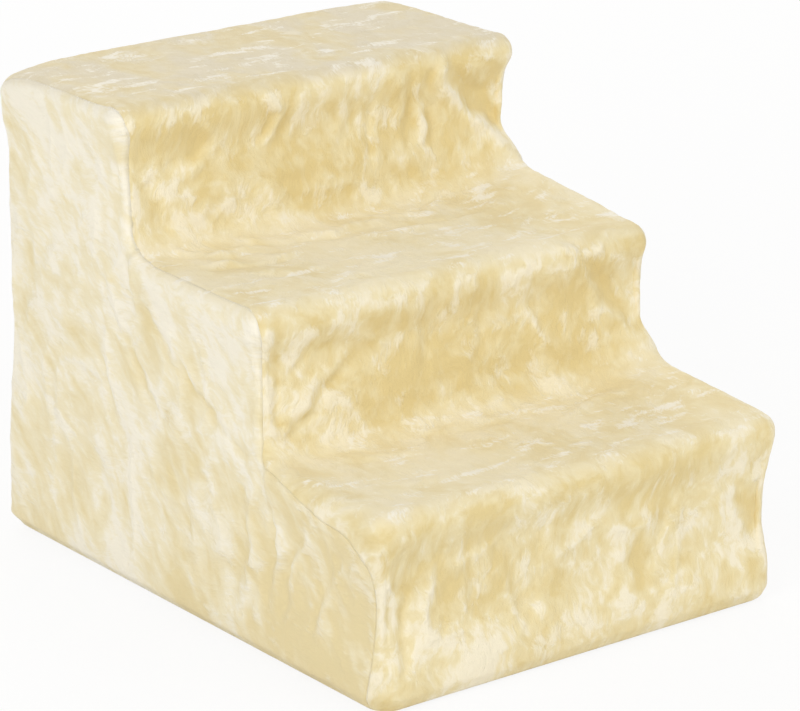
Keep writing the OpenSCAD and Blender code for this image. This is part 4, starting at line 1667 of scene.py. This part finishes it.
LEFT_SIDE = (
    Fold(((-172, 128, 194), (-172, 109, 169), (-172, 94, 144)), -1.8, 6.0),
    Fold(((-172, 72, 194), (-172, 56, 163), (-172, 26, 130)), -2.0, 5.5, -1.0, 9.0),
    Fold(((-172, 2, 186), (-172, -40, 162), (-172, -82, 148)), 2.0, 6.0, 2.2, 10.0),
    Fold(((-172, 50, 222), (-172, 11, 198), (-172, -22, 166)), 1.6, 6.0, 1.6, 10.0),
    Fold(((-172, 100, 236), (-172, 82, 206), (-172, 62, 178)), 1.5, 5.0, 1.4, 8.0),
    Fold(((-172, 104, 168), (-172, 84, 138), (-172, 66, 104)), 1.5, 5.5, 1.4, 8.0),
    Fold(((-172, -74, 118), (-172, -80, 81), (-172, -72, 22)), 2.2, 6.0, 2.6, 9.0),
    Fold(((-172, -106, 122), (-172, -114, 92), (-172, -103, 38)), 2.0, 5.5, 2.4, 8.0),
    Fold(((-172, -146, 110), (-172, -137, 85), (-172, -121, 34)), 2.2, 6.0, 2.2, 9.0),
    Fold(((-172, -184, 98), (-172, -172, 70), (-172, -160, 30)), 1.8, 6.0, 2.0, 9.0),
    Fold(((-172, 20, 140), (-172, -10, 96), (-172, -18, 40)), 1.3, 8.0, 1.4, 11.0),
    Fold(((-172, 120, 120), (-172, 90, 80), (-172, 84, 30)), 1.0, 9.0, 1.0, 12.0),
    Fold(((-172, 196, 300), (-172, 188, 240), (-172, 196, 170)), -1.2, 10.0),
)
TOP = (
    Fold(((-19, 124, 345), (22, 127, 345), (67, 121, 345)), 0.9, 6.0),
    Fold(((90, 155, 345), (104, 115, 345), (132, 86, 345)), 1.2, 7.0, 0.5, 10.0),
    Fold(((-120, 180, 345), (-70, 170, 345), (-20, 184, 345)), 0.8, 7.0),
)


def other_side(fold: Fold) -> Fold:
    """A fold of the left side, a little changed, for the right side.

    Args:
        fold: the left side's fold.

    Returns:
        The right side's.
    """
    points = tuple((-x, y * 0.93 + 9.0, z * 0.95 + 4.0) for x, y, z in fold.points)
    return Fold(points, fold.height * 1.1, fold.width * 1.1, fold.hollow, -fold.gap)


BACK = (
    Fold(((-110, 225, 318), (-98, 225, 240), (-112, 225, 150), (-100, 225, 60)), 1.8, 9.0, 1.8, 12.0),
    Fold(((-40, 225, 316), (-52, 225, 250), (-36, 225, 170)), 1.5, 8.0, 1.6, -11.0),
    Fold(((24, 225, 318), (30, 225, 230), (18, 225, 120), (26, 225, 40)), 1.8, 9.0, 1.8, 12.0),
    Fold(((96, 225, 314), (84, 225, 250), (100, 225, 160)), 1.7, 8.0, 1.7, -11.0),
    Fold(((134, 225, 200), (122, 225, 130), (136, 225, 50)), 1.4, 8.0, 1.4, 11.0),
    Fold(((-150, 225, 220), (-138, 225, 140), (-150, 225, 60)), 1.4, 8.0, 1.4, 11.0),
)
FOLDS: Tuple[Fold, ...] = (
    *THIRD_RISER,
    *SECOND_TREAD,
    *SECOND_RISER,
    *FIRST_TREAD,
    *FIRST_RISER,
    *LEFT_SIDE,
    *(other_side(fold) for fold in LEFT_SIDE),
    *TOP,
    *BACK,
)


def flat_sizes(outline: Outline, hem: Hem) -> dict:
    """Flat sizes of the four panels as they are cut, in metres.

    Args:
        outline: the cover's outline.
        hem: its hem.

    Returns:
        Width, length and area by panel name.
    """
    o = outline
    line = o.curve(np.zeros(1))[:, 0]
    length = np.linalg.norm(np.diff(line, axis=0), axis=1).sum()
    hem_run = hem.radius * QUARTER + hem.reach
    depth = o.back - o.fronts[0]
    strip = (o.width * MM, (length + hem_run) * MM)
    back = (o.width * MM, (o.levels[2] - o.nose - o.hem_top + hem_run) * MM)
    side = (depth * MM, (o.levels[2] - o.hem_top + hem_run) * MM)
    ends = (*o.fronts[1:], o.back)
    steps = sum((end - start) * level for start, end, level in zip(o.fronts, ends, o.levels))
    area = (steps + (hem_run - o.hem_top) * depth) * MM * MM
    return {
        "plush_step_panel": (strip, None),
        "plush_back_panel": (back, None),
        "plush_side_left": (side, area),
        "plush_side_right": (side, area),
    }


# The step panel's darker, yellower palette and the sides' paler one are partly the pile lying another way and
# partly painted light: paler for the sides that face the key lamp, darker and yellower as painted shade on the
# steps
CLIMBING = Plush("plush_climbing", Lay.CLIMB)
HANGING = Plush(
    "plush_hanging",
    Lay.DOWN,
    dark="E5D5A6",
    mid="EEE3C2",
    light="F4EEDC",
    cover=0.7,
    spots=0.3,
    crush=0.4,
    mottle=0.4,
)
SIDE = Plush(
    "plush_side",
    Lay.ACROSS,
    dark="E6D6A8",
    mid="EFE5C6",
    light="F5EFDE",
    cover=0.5,
    spots=0.5,
    crush=0.7,
    mottle=0.9,
    slope=(0.75, 1.0),
    dents=0.4,
)


def main() -> None:
    """Builds the scene."""
    logging.basicConfig(level=logging.INFO, format="%(name)s: %(message)s")
    outline, hem = Outline(), Hem()
    panels = Cover(outline, hem, Drape(outline, FOLDS)).build()
    finishes = {
        "plush_step_panel": CLIMBING,
        "plush_back_panel": HANGING,
        "plush_side_left": SIDE,
        "plush_side_right": SIDE,
    }
    stands_for = {
        "plush_step_panel": "cover_step_panel",
        "plush_back_panel": "cover_back_panel",
        "plush_side_left": "cover_side_left",
        "plush_side_right": "cover_side_right",
    }
    sizes = flat_sizes(outline, hem)
    for name, panel in panels.items():
        panel.data.materials.append(finishes[name].make())
        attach(panel, "root")
        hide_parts(stands_for[name])
    InnerFrame(frame["nodes"]).dress()
    Studio().build()


if __name__ == "__main__":
    main()
